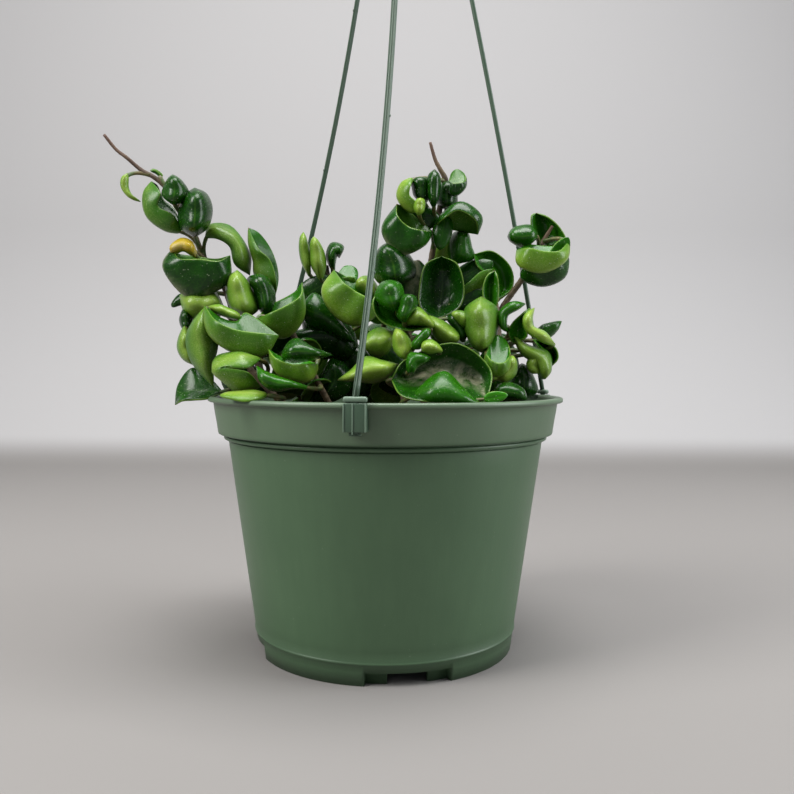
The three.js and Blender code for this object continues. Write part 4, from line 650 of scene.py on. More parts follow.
        "root": (8, -32), "bare": 0,
        "path": [(8, 118, -30), (10, 132, -28), (10, 142, -26)],
        "shaped": [],
        "drawn": [
            (12.3, 131.5, 19.8, 140, 11.8, 133.8, 14, 136.5, 17, 139.5, 13.5, 133, 15.3, 135.5, 18,
             138.5, 15.3, 131.5, 16.8, 134, 18.8, 137, -48, -48, -48, -52, -48, -1, 0.45),
            (25, 130.3, 16, 131.5, 23.3, 133.2, 20, 135.4, 16.8, 134.4, 22, 131.8, 19.5, 132.2, 17.3,
             132.2, 22, 129.6, 19.5, 129, 17, 129.8, -50, -50, -50, -55, -50, 1, 0.85),
            (21, 141, -2, 158.5, 9, 139.4, -2.5, 143.6, -6, 152, 11, 143, 3, 147.5, -1, 153, 12.5, 146,
             6.5, 150.5, 4, 156, -40, -34, -42, -32, -38, 1, 0.35),
            (4.5, 147.5, 2, 162, -1.5, 149.5, -5.2, 154, -2.6, 160.2, 3, 151, 1.6, 155, 1.6, 159, 7.4,
             150.5, 8, 155, 6.5, 160, -38, -38, -38, -46, -38, -1, 0.4),
            (8, 143, 10, 155.5, 5, 146, 5.2, 150.5, 7, 154.3, 8, 146, 9.5, 150.5, 10, 154, 10.5, 146,
             13.8, 150.5, 13, 154.3, -42, -42, -42, -48, -42, -1, 0.25),
            (8.5, 142.3, 21.5, 141, 12, 149, 15, 149.5, 19, 145.5, 12, 145, 15, 145.5, 19, 143.3, 12,
             141.9, 15, 141.8, 18.5, 141.3, -38, -38, -38, -44, -38, 1, 0.85),
            (3.3, 138, -9.5, 133, -0.5, 140.5, -5, 140, -8.8, 137, 0.8, 135.5, -4, 134, -8.5, 133.5,
             1.5, 130.5, -3.5, 127.3, -8, 130.3, -34, -34, -34, -42, -34, 1, 0.65),
            (9.8, 126.5, 4.4, 140.5, 6, 127.8, 3.3, 131.5, 3.2, 136.5, 8.5, 129, 7, 133, 5.5, 137.5, 12,
             129.5, 11, 134.5, 8, 138.5, -44, -44, -44, -50, -44, 1, 0.95),
            (19, 146, 32.8, 135.5, 25, 144, 29.5, 141, 32.3, 138, 22.5, 141.5, 27, 138, 31, 136, 20.5,
             138.5, 25, 134, 30, 134, -30, -30, -30, -38, -30, 1, 0.7),
            (27, 145, 35.5, 134.5, 30.5, 147, 33.8, 143, 35.8, 139, 30, 144.5, 32.5, 141, 34.5, 137, 29,
             142, 31.5, 138.5, 33.5, 135, -24, -24, -24, -28, -24, -1, 0.05),
            (5, 124, -21.8, 117, -2, 126, -9.5, 127.5, -16, 121.2, 0, 122.5, -7.5, 121.5, -15, 119, 1,
             118.5, -6, 115.8, -14, 116.8, -44, -46, -44, -54, -44, 1, 0.85),
            (2.4, 117.5, 45.5, 107.6, 9.5, 127, 31, 134, 46.8, 122.5, 10, 118, 26, 121.5, 41, 116, 7.5,
             109.8, 22, 107.1, 37, 107.3, -52, -58, -50, -46, -66, 1, 0.15, 1),
            (12, 110, 41, 107, 20, 118.5, 27, 121, 34, 114.5, 20, 113, 27, 114, 34.5, 110.5, 20, 107.6,
             27, 107.5, 35, 107.2, -60, -64, -58, -66, -66, -1, 0.4),
            (10, 121, 20, 127.5, 9.3, 126, 11, 129.3, 16, 129, 11, 123, 13, 126, 17, 127, 12, 120.5, 14,
             123, 17.5, 125.5, -52, -52, -52, -56, -52, -1, 0.4),
        ],
    },
    "stem_right": {
        "root": (38, -15), "bare": 0,
        "path": [(46, 115, -16), (50, 132, -14), (50, 145, -8), (48, 155, -2)],
        "shaped": [
            (38.5, 165.5, 0, 30, 0, 20, 21, 6.5, -20, -60, 0, 0, 0, 0, 0, 0.2),
            (42, 159, -10, 45, 0, 120, 20, 6.5, 20, 120, 0, 0, 0, 0, 0, 0.45),
            (37.5, 153, -12, 10, 0, 0, 18, 6, -30, -40, 0, 0, 0, 0, 0, 0.05),
            (49.5, 109.8, -62, 10, 0, 0, 9, 2.2, 0, 30, 0, 0, 0, 0, 0, 1),
        ],
        "drawn": [
            (50, 153, 39, 173.5, 47, 158, 45, 164, 40.5, 168.5, 52, 158, 50, 166.5, 44, 172, 56.5, 159,
             55.5, 168, 47.5, 174.8, 2, 0, -2, 8, 4, 1, 0.8),
            (48, 147, 48.4, 166.3, 44.3, 152, 43.3, 158, 45, 163.8, 46.5, 152, 46, 158, 47, 163, 49.8,
             152, 50.3, 158, 49.7, 163.6, -14, -14, -16, -12, -16, 1, 0.4),
            (42.5, 154.5, 43, 129.5, 35.5, 149.5, 34.8, 141.5, 38.3, 133, 41.5, 149, 42.5, 141, 43, 134,
             49.8, 149.5, 50.2, 141, 47.8, 133.5, -26, -26, -26, -38, -26, 1, 0.4),
            (37.5, 144, 29.3, 147.2, 35.5, 147.5, 33, 148.3, 31, 148, 35.5, 144.5, 33, 145.5, 31, 146.5,
             35.5, 141, 33.5, 142, 31.3, 144.8, -28, -28, -28, -31, -28, 1, 0.6),
            (45, 129, 55.8, 128.5, 47, 126.6, 50, 125.2, 53.3, 125.6, 46.3, 122.3, 50, 120.6, 54.5, 123,
             47, 135.5, 50.5, 137.7, 54.5, 134.3, -38, -38, -48, -42, -30, 1, 0.6),
            (49, 118, 56.5, 128.5, 50, 122, 52.5, 125.5, 55, 127.5, 52, 119, 55, 122.5, 57, 126, 54,
             116.8, 58.3, 120, 58.5, 125, -34, -34, -34, -40, -34, 1, 0.75),
            (57, 134, 64.6, 149.8, 54.8, 138.5, 56.6, 143, 61, 147, 59, 137.5, 60, 142, 62, 146.5, 63.2,
             137, 61.6, 142, 62.6, 147, -24, -24, -26, -22, -28, 1, 0.85),
            (66, 135.5, 73.8, 123.2, 71, 134.8, 75.8, 132.2, 77.2, 127.5, 70, 133.3, 74, 130.5, 75.3,
             127, 69, 131.5, 72, 129.5, 73.5, 126.5, -20, -20, -22, -14, -26, 1, 0.7),
            (55.5, 139.5, 62.5, 151.6, 50.8, 142.5, 50.4, 147.5, 55.5, 152, 52.5, 141, 52.2, 147, 57.5,
             151, 54, 141.5, 54.5, 146.3, 58.5, 148.8, -24, -24, -24, -31, -26, -1, 0.4),
            (75.6, 133, 66.4, 149.9, 70, 134.6, 62.8, 139.5, 61.6, 145.8, 71, 136.8, 64.4, 141, 63.8,
             145.8, 71.5, 138.8, 66.2, 141.2, 65.4, 145.8, -22, -22, -28, -32, -24, 1, 1),
            (57, 137, 71.5, 117.8, 64, 133, 72.8, 130, 74.2, 122.5, 62.5, 131.5, 69.5, 127, 72, 121.5,
             60.5, 129.5, 66, 125, 69, 119, -22, -26, -24, -31, -24, 1, 0.4),
            (68.5, 128.5, 68.5, 120.5, 64.5, 127.5, 63.2, 124, 65, 121, 67, 126.5, 66, 124, 66.8, 121.8,
             69.5, 127, 69, 124, 69, 121.5, -26, -26, -26, -30, -26, 1, 0.7),
            (67, 139, 78.7, 143.9, 70, 142, 73, 143, 76, 143.6, 70, 140, 73, 140, 76, 141.7, 69.5,
             137.5, 73, 136.5, 76.5, 139.5, 5, 5, 5, 1, 5, -1, 0.3),
            (60, 108, 61, 125, 56.5, 113, 57, 118, 58.5, 122.5, 62, 113, 62, 118, 61.5, 122, 68, 112,
             66.8, 118, 63.8, 123, -18, -18, -18, -25, -18, -1, 0),
            (48, 111, 63.5, 108.8, 51, 115.5, 56, 116.3, 61.5, 113.5, 51, 112, 56, 112, 61, 110.8, 51,
             108, 56, 107.7, 61, 107.8, -44, -44, -44, -50, -44, -1, 0.1),
        ],
    },
    "stem_right_tall": {
        "root": (44, 2), "bare": 9,
        "path": [(46, 125, 2), (48, 140, 2), (51, 148.1, 2), (54.8, 154.1, 2), (59.1, 160.1, 2),
                 (63, 166, 3), (66.5, 172.5, 4), (69.8, 179, 4), (74.1, 186.3, 3)],
        "shaped": [
            (77.5, 175, -8, 60, 0, 0, 14, 4, 60, 60, 0, 0, 0, 0, 0, 0.6),
        ],
        "drawn": [
            (67.5, 182, 54, 181.5, 64.5, 186.3, 60.5, 186.5, 56.3, 185, 65, 182, 60.5, 181.5, 56.5,
             181.8, 64, 178, 60, 176.9, 55.8, 179, -2, -2, -2, -8, -2, -1, 0.25),
            (71, 177, 66.6, 192, 66, 181, 64.6, 186, 64.6, 190.6, 71.5, 181, 70.5, 185.5, 69, 189.6,
             79.8, 179.3, 78, 184.8, 72.5, 189.8, 4, 4, 2, 8, 2, 1, 0.4),
            (81, 179, 58, 175.5, 77, 175.3, 70, 175.2, 63.5, 176.6, 79.5, 171.5, 70, 166.4, 60, 169, 76,
             177.5, 70, 177.5, 63.5, 178, -8, -8, -18, -14, -4, 1, 0.85),
            (81.3, 172.5, 60.3, 168, 77, 170, 70, 168, 63.5, 169, 79.5, 164, 70.5, 160, 61.5, 162.5, 77,
             173, 70, 171, 63.5, 171, -2, -2, -12, -4, 6, -1, 0.1),
            (47, 108, 53, 137, 41, 116, 41, 125, 46, 133, 49, 115, 50, 124, 52, 132, 57, 112, 60, 120,
             58, 131, 8, 8, 8, 0, 8, -1, 0),
        ],
    },
}

# Stems at the back, by root, path and seed. Their leaves grow in opposite pairs, each pair a
# quarter turn from the last.
BACK_STEMS = {
    "stem_back_left": ((-36, 24), [(-44, 30, 112), (-52, 36, 128), (-56, 38, 142)], 67),
    "stem_back_middle": ((-6, 40), [(-8, 48, 112), (-10, 56, 126), (-12, 58, 142)], 23),
    "stem_back_right": ((30, 36), [(36, 44, 112), (42, 50, 126), (44, 50, 142)], 111),
    "stem_centre": ((2, 12), [(2, 16, 114), (0, 22, 132), (-2, 26, 148)], 71),
    "stem_inner_left": ((-28, 2), [(-31, 4, 112), (-35, 6, 124), (-38, 8, 136)], 41),
    "stem_inner_right": ((26, 14), [(28, 16, 112), (31, 18, 128), (33, 20, 144)], 33),
}


def draws(seed):
    """Seeded draws between 0 and 1: each state is 1664525 times the last plus 1013904223."""
    state = seed
    while True:
        state = (state * 1664525 + 1013904223) % 4294967296
        yield state / 4294967296


def shaped_leaf(row, draw):
    """A leaf from a shaped row, its rim's wave begun at a draw."""
    x, z, back, aim, lean, face, *shape = row
    return Leaf(seat(x, z, back), leaf_frame(aim, lean, face), shape, next(draw) * math.pi * 2)


def front_leaves(stem):
    """The leaves of one front stem, each with its lightness and its scars."""
    draw = draws(stem["root"][0] + 100)
    leaves = [(shaped_leaf(row[:15], draw), row[15:]) for row in stem["shaped"]]
    for row in stem["drawn"]:
        leaves.append((DrawnLeaf(np.reshape(row[:22], (11, 2)), row[22:27], row[27]), row[28:]))
    return leaves


def back_leaves(curve, seed):
    """The leaves of one back stem, in pairs along its curve, each with its lightness."""
    draw = draws(seed)
    shade = draws(seed + 1000)

    def between(low, high):
        return low + (high - low) * next(draw)

    length = steps_of(curve).sum()
    ways = unit(np.gradient(curve, axis=0))
    leaves = []
    for pair, s in enumerate(np.arange(10, length, PAIR_SPACING)):
        place = s / length * (len(curve) - 1)
        node = looked_up(place, np.arange(len(curve)), curve)
        way = ways[int(round(place))]
        first = unit(np.cross([1.0, 0, 0], way))
        second = np.cross(way, first)
        turn = pair * 90 + between(-20, 20)
        for half_turn in (0, 180):
            angle = math.radians(turn + half_turn + between(-12, 12))
            out = math.cos(angle) * first + math.sin(angle) * second
            long = between(24, 31)
            along = unit(out + between(0.1, 0.7) * way)
            upper = unit(way - (way @ along) * along)
            sign = 1 if next(draw) < 0.45 else -1
            half = between(7.5, 10)
            curl, cup = sign * between(50, 110), sign * between(70, 120)
            bend, twist = between(-20, 20), between(-30, 30)
            shape = [long, half, curl, cup, 0, bend, twist, 0, 0]
            middle = node + out * (4 + long * 0.36)
            leaf = Leaf(middle, (along, upper, np.cross(upper, along)), shape, between(0, 6))
            leaves.append((leaf, [next(shade) * 0.6]))
    return leaves


def stalks(root, curve, leaves, bare):
    """A stem with swollen nodes, its straight foot in the soil, and a petiole to each leaf."""
    foot = np.array([*root, SOIL_TOP_Z - STEM_HOLE_DEPTH + GAP])
    whole = spaced(np.concatenate([[foot], curve]), STEM_STEPS)
    run = np.linspace(0, 1, STEM_STEPS)
    length = steps_of(whole).sum()
    swell = 1 + 0.1 * np.cos(run * length / STEM_NODE_SPACING * 2 * math.pi) ** 8
    dry = np.clip((run - 1 + bare / length) / (bare / length), 0, 1) if bare else run * 0
    radii = STEM_RADIUS * swell * (1 - 0.5 * dry**0.5)
    dry = np.concatenate([np.repeat(dry, STEM_SIDES), [0, dry[-1]]])
    data = {"leaf": np.zeros((len(dry), 3)), "look": np.stack([dry] * 3, -1)}
    shells = [tube(whole, radii, STEM_SIDES, 1, data)]
    samples = spaced(curve, 81)
    for leaf, _ in leaves:
        base = leaf.rib_at(0.0)
        nearest = int(np.argmin(np.linalg.norm(samples - base, axis=1)))
        start = samples[max(2, nearest - 4)]
        reach = np.linalg.norm(start - base)
        bend = base - leaf.way(0.0) * 0.4 * reach
        end = leaf.rib_at(min(0.3, 3.5 / leaf.long))
        path = bent(start, bend, end, PETIOLE_STEPS)
        swollen = PETIOLE_RADIUS * (1.15 - 0.25 * np.sin(np.linspace(0, math.pi, PETIOLE_STEPS)))
        swollen[-3:] *= [0.8, 0.55, 0.25]
        shells.append(tube(path, swollen, PETIOLE_SIDES, 2))
    return shells


# Materials


def feed(tree, node, sockets):
    """Give each named or numbered input of a node a constant or a link."""
    for key, value in sockets.items():
        socket = node.inputs[key]
        if isinstance(value, bpy.types.NodeSocket):
            tree.links.new(value, socket)
        else:
            socket.default_value = (*value, 1) if socket.type == "RGBA" else value


def put(tree, kind, sockets, **settings):
    """A node with its settings and inputs."""
    node = tree.nodes.new(kind)
    for key, value in settings.items():
        setattr(node, key, value)
    feed(tree, node, sockets)
    return node


def maths(tree, operation, a, b=0.0, c=0.0, clamp=False):
    """One step of arithmetic."""
    sockets = {0: a, 1: b, 2: c}
    return put(tree, "ShaderNodeMath", sockets, operation=operation, use_clamp=clamp).outputs[0]


def product(tree, a, b):
    """One value times another."""
    return maths(tree, "MULTIPLY", a, b)


def ramp(tree, value, low, high, out_low=0.0, out_high=1.0):
    """A value from one range to another along a smooth step."""
    sockets = {"Value": value, "From Min": low, "From Max": high, "To Min": out_low, "To Max": out_high}
    return put(tree, "ShaderNodeMapRange", sockets, interpolation_type="SMOOTHSTEP").outputs[0]


def mixed(tree, factor, a, b):
    """Colour a where the factor is 0 and colour b where it is 1."""
    return put(tree, "ShaderNodeMix", {0: factor, 6: a, 7: b}, data_type="RGBA").outputs[2]


def noise(tree, coords, scale, detail=3.0, rough=0.55, distortion=0.0):
    """Fractal noise from 0 to 1."""
    sockets = {"Vector": coords, "Scale": scale, "Detail": detail, "Roughness": rough,
               "Distortion": distortion}
    return put(tree, "ShaderNodeTexNoise", sockets).outputs[0]


def split(tree, vector):
    """The three parts of a vector."""
    return put(tree, "ShaderNodeSeparateXYZ", {0: vector}).outputs


def read(tree, attribute):
    """The three parts of a piece's own attribute."""
    return split(tree, put(tree, "ShaderNodeAttribute", {}, attribute_name=attribute).outputs["Vector"])


def group(name, inputs, outputs):
    """An empty node group with the given named sockets, and its input and output nodes."""
    tree = bpy.data.node_groups.new(name, "ShaderNodeTree")
    for label, kind, value in inputs:
        socket = tree.interface.new_socket(label, in_out="INPUT", socket_type=kind)
        if value is not None:
            socket.default_value = value
    for label, kind in outputs:
        tree.interface.new_socket(label, in_out="OUTPUT", socket_type=kind)
    return tree, tree.nodes.new("NodeGroupInput"), tree.nodes.new("NodeGroupOutput")


def speckle_group():
    """Small round dots scattered at random: a cell's dot shows where its own draw is low."""
    tree, given, result = group("scattered_specks", [
        ("Vector", "NodeSocketVector", None),
        ("Scale", "NodeSocketFloat", 700.0),
        ("Size", "NodeSocketFloat", 0.16),
        ("Share", "NodeSocketFloat", 0.25),
    ], [("Mask", "NodeSocketFloat")])
    vector, scale, size, share = given.outputs[:4]
    cells = put(tree, "ShaderNodeTexVoronoi", {"Vector": vector, "Scale": scale})
    draw = put(tree, "ShaderNodeSeparateColor", {0: cells.outputs["Color"]})
    shown = maths(tree, "LESS_THAN", draw.outputs[0], share)
    inside = maths(tree, "SUBTRACT", product(tree, size, draw.outputs[1]), cells.outputs["Distance"])
    dot = maths(tree, "MULTIPLY", inside, 18.0, clamp=True)
    feed(tree, result, {"Mask": product(tree, dot, shown)})
    return tree


def moulding_group():
    """Moulded plastic: soft patches, fine upright streaks, painted light at the rim band and lip, painted
    shade at the foot, and dust.

    The painted light and shade says how much paler the rim band and its lip are painted, as if lit more from
    above, and how much darker the foot is painted, as shade near the floor.
    """
    tree, given, result = group("moulded_plastic", [
        ("Vector", "NodeSocketVector", None),
        ("Dark", "NodeSocketColor", None),
        ("Pale", "NodeSocketColor", None),
        ("Streaks", "NodeSocketFloat", 0.3),
        ("Painted_Light_And_Shade", "NodeSocketFloat", 0.0),
    ], [("Colour", "NodeSocketColor"), ("Roughness", "NodeSocketFloat"), ("Height", "NodeSocketFloat")])
    coords, dark, pale, streaks, painted_light_and_shade = given.outputs[:5]
    patches = noise(tree, coords, 22.0, 4.0, 0.6)
    stretch = {"Vector": coords, "Scale": (1.0, 1.0, 0.08)}
    upright = noise(tree, put(tree, "ShaderNodeMapping", stretch).outputs[0], 260.0, 3.0, 0.6)
    tone = maths(tree, "ADD", product(tree, patches, 0.5), product(tree, upright, streaks))
    colour = mixed(tree, ramp(tree, tone, 0.2, 0.8), dark, pale)
    level = split(tree, coords)[2]
    # Painted light: the rim band and its lip are painted paler, towards (0.16, 0.2, 0.14), as if lit more
    # from above.
    band = ramp(tree, level, (BAND_FOOT_Z - 0.5) * MM, (BAND_FOOT_Z + 1.5) * MM, 0.0, painted_light_and_shade)
    lip_painted_light = product(tree, painted_light_and_shade, 0.3)
    lip = ramp(tree, level, (POT_HEIGHT - 2.4) * MM, (POT_HEIGHT - 1.0) * MM, 0.0, lip_painted_light)
    colour = mixed(tree, maths(tree, "ADD", band, lip), colour, (0.16, 0.2, 0.14))
    # Painted shade: the foot is painted darker below the bead, towards (0.015, 0.028, 0.014).
    painted_foot_shade = ramp(tree, level, 2 * BEAD_Z * MM, BEAD_Z * MM, 0.0, painted_light_and_shade)
    colour = mixed(tree, painted_foot_shade, colour, (0.015, 0.028, 0.014))
    dust = {"Vector": coords, "Scale": 420.0, "Size": 0.16, "Share": 0.2}
    dust = put(tree, "ShaderNodeGroup", dust, node_tree=specks).outputs[0]
    feed(tree, result, {
        "Colour": mixed(tree, product(tree, dust, 0.1), colour, (0.4, 0.44, 0.36)),
        "Roughness": maths(tree, "MULTIPLY_ADD", patches, 0.2, 0.32),
        "Height": maths(tree, "ADD", noise(tree, coords, 1600.0, 2.0, 0.5), upright),
    })
    return tree


def new_material(name):
    """A material with its tree, its shader and the piece's own coordinates."""
    material = bpy.data.materials.new(name)
    material.use_nodes = True
    tree = material.node_tree
    coords = tree.nodes.new("ShaderNodeTexCoord").outputs["Object"]
    return material, tree, tree.nodes["Principled BSDF"], coords


def dress(tree, shader, colour, rough, height, strength, distance):
    """Give a shader its colour, its roughness and a bump from a height."""
    bump = put(tree, "ShaderNodeBump", {"Height": height, "Strength": strength, "Distance": distance})
    feed(tree, shader, {"Base Color": colour, "Roughness": rough, "Normal": bump.outputs[0]})


def leaf_material():
    """Waxy leaf: dark upper side, pale underside, with veins, mottling, a pale rim and dust.

    A lightness above 1 turns the leaf yellow.
    """
    material, tree, shader, coords = new_material("waxy_leaf")
    u, v, side = read(tree, "leaf")
    light, draw, scar = read(tree, "look")
    across = maths(tree, "ABSOLUTE", v)
    patches = noise(tree, coords, 150.0, 4.0, 0.6)
    mottle = noise(tree, coords, 1100.0, 3.0, 0.7)
    stipple = noise(tree, coords, 2600.0, 2.0, 0.6)
    patchy = maths(tree, "MULTIPLY_ADD", patches, 0.6, -0.32)
    # The lightness is partly the leaf's own tone and partly painted shade for leaves that sit in shadow.
    lightness = maths(tree, "ADD", light, patchy, clamp=True)
    upper = mixed(tree, lightness, (0.0025, 0.029, 0.0006), (0.025, 0.17, 0.0015))
    upper = mixed(tree, ramp(tree, mottle, 0.45, 0.75, 0.0, 0.18), upper, (0.034, 0.15, 0.004))
    under = mixed(tree, lightness, (0.02, 0.095, 0.002), (0.15, 0.285, 0.015))
    under = mixed(tree, ramp(tree, mottle, 0.42, 0.7, 0.0, 0.4), under, (0.035, 0.13, 0.006))
    under = mixed(tree, ramp(tree, stipple, 0.5, 0.62, 0.0, 0.4), under, (0.3, 0.4, 0.12))
    # The underside is paler towards the middle of the blade, more so on light leaves.
    paler_middle = product(tree, ramp(tree, across, 0.6, 0.0, 0.0, 0.6), lightness)
    under = mixed(tree, paler_middle, under, (0.25, 0.33, 0.055))
    edge = product(tree, ramp(tree, across, 0.4, 0.95), ramp(tree, light, 1.1, 0.0, 0.45, 0.8))
    under = mixed(tree, edge, under, (0.022, 0.105, 0.002))
    ends = maths(tree, "MAXIMUM", ramp(tree, u, 0.22, 0.0), ramp(tree, u, 0.85, 1.0))
    under = mixed(tree, product(tree, ends, 0.45), under, (0.022, 0.105, 0.002))
    colour = mixed(tree, ramp(tree, side, -0.12, 0.12), under, upper)
    yellow = ramp(tree, light, 1.0, 1.5, 0.0, 0.85)
    colour = mixed(tree, yellow, colour, (0.42, 0.27, 0.02))

    slant = maths(tree, "MULTIPLY_ADD", across, -0.22, u)
    waves = maths(tree, "MULTIPLY_ADD", slant, 70.0, product(tree, patches, 5.0))
    vein_mask = ramp(tree, maths(tree, "SINE", waves), 0.75, 1.0)
    vein_mask = product(tree, vein_mask, ramp(tree, across, 0.9, 0.3, 0.0, 0.08))
    midrib = ramp(tree, across, 0.06, 0.015)
    midrib = product(tree, midrib, ramp(tree, u, 0.9, 0.4, 0.03, 0.18))
    colour = mixed(tree, maths(tree, "MAXIMUM", vein_mask, midrib), colour, (0.1, 0.25, 0.02))

    rim = ramp(tree, maths(tree, "ABSOLUTE", side), 0.24, 0.05)
    rim = product(tree, rim, 0.5)
    colour = mixed(tree, rim, colour, (0.19, 0.3, 0.05))
    spots = {"Vector": coords, "Scale": 1500.0, "Size": 0.34, "Share": 0.16}
    spots = put(tree, "ShaderNodeGroup", spots, node_tree=specks).outputs[0]
    colour = mixed(tree, product(tree, spots, 0.5), colour, (0.5, 0.58, 0.4))
    scars = ramp(tree, noise(tree, coords, 110.0, 5.0, 0.75, 0.6), 0.38, 0.68)
    scars = product(tree, scars, product(tree, scar, ramp(tree, across, 0.6, 0.1)))
    colour = mixed(tree, product(tree, scars, 0.8), colour, (0.42, 0.4, 0.27))
    tip = product(tree, ramp(tree, u, 0.965, 0.995), ramp(tree, draw, 0.45, 0.6))
    colour = mixed(tree, tip, colour, (0.11, 0.045, 0.015))

    smudge = noise(tree, coords, 300.0, 4.0, 0.6)
    rough = maths(tree, "MULTIPLY_ADD", smudge, 0.16, 0.18)
    rough = maths(tree, "ADD", rough, ramp(tree, side, 0.1, -0.1, 0.0, 0.08))
    rough = maths(tree, "ADD", rough, product(tree, scars, 0.3), clamp=True)
    fine = product(tree, mottle, 0.4)
    height = maths(tree, "ADD", product(tree, patches, 0.9), fine)
    height = maths(tree, "SUBTRACT", height, product(tree, vein_mask, 0.5))
    dress(tree, shader, colour, rough, height, 0.2, 0.0012)
    feed(tree, shader, {
        "Specular IOR Level": 0.22, "Coat Weight": 0.11, "Coat Roughness": 0.05,
        "Subsurface Weight": 0.08, "Subsurface Radius": (0.5, 1.0, 0.15), "Subsurface Scale": 0.0012,
    })
    return material


def stem_material():
    """Rope-like stem: olive to tan bark with rings and cracks, dark brown where it is dry."""
    material, tree, shader, coords = new_material("stem_bark")
    dry = read(tree, "look")[0]
    grain = noise(tree, coords, 420.0, 5.0, 0.7, 0.8)
    blotch = noise(tree, coords, 120.0, 3.0, 0.6)
    colour = mixed(tree, ramp(tree, blotch, 0.35, 0.65), (0.045, 0.028, 0.012), (0.12, 0.085, 0.04))
    colour = mixed(tree, product(tree, dry, 0.85), colour, (0.075, 0.03, 0.016))
    colour = mixed(tree, ramp(tree, grain, 0.5, 0.8, 0.0, 0.35), colour, (0.2, 0.15, 0.09))
    dress(tree, shader, colour, 0.68, grain, 0.6, 0.0006)
    return material


def petiole_material():
    """Leaf stalk: olive green with a brown tinge."""
    material, tree, shader, coords = new_material("leaf_stalk")
    blotch = noise(tree, coords, 260.0, 4.0, 0.65)
    colour = mixed(tree, ramp(tree, blotch, 0.35, 0.65), (0.05, 0.1, 0.02), (0.12, 0.09, 0.03))
    dress(tree, shader, colour, 0.5, blotch, 0.3, 0.0005)
    return material


def plastic_material(name, dark, pale, streaks, painted_light_and_shade):
    """Satin plastic of one colour, from dark to pale."""
    material, tree, shader, coords = new_material(name)
    sockets = {"Vector": coords, "Dark": dark, "Pale": pale, "Streaks": streaks, "Painted_Light_And_Shade": painted_light_and_shade}
    colour, rough, height = put(tree, "ShaderNodeGroup", sockets, node_tree=moulding).outputs
    dress(tree, shader, colour, rough, height, 0.08, 0.0004)
    return material


def soil_material():
    """Damp potting mix: near-black peat with brown fibres and grains."""
    material, tree, shader, coords = new_material("potting_mix")
    clods = noise(tree, coords, 240.0, 6.0, 0.75)
    colour = mixed(tree, ramp(tree, clods, 0.35, 0.7), (0.012, 0.008, 0.006), (0.075, 0.045, 0.025))
    dress(tree, shader, colour, 0.92, clods, 1.0, 0.002)
    return material


def bark_material():
    """Bark chips and fibres: brown, split along their length."""
    material, tree, shader, coords = new_material("bark_chip")
    grain = noise(tree, coords, 500.0, 5.0, 0.7)
    patches = noise(tree, coords, 90.0, 2.0, 0.5)
    colour = mixed(tree, ramp(tree, patches, 0.35, 0.65), (0.05, 0.025, 0.012), (0.2, 0.11, 0.055))
    colour = mixed(tree, ramp(tree, grain, 0.5, 0.8, 0.0, 0.5), colour, (0.3, 0.2, 0.12))
    dress(tree, shader, colour, 0.85, grain, 0.7, 0.0008)
    return material


# Pot


def outer(z):
    """The radius of the pot's wall at a height."""
    return FOOT_RADIUS + WALL_SLOPE * z


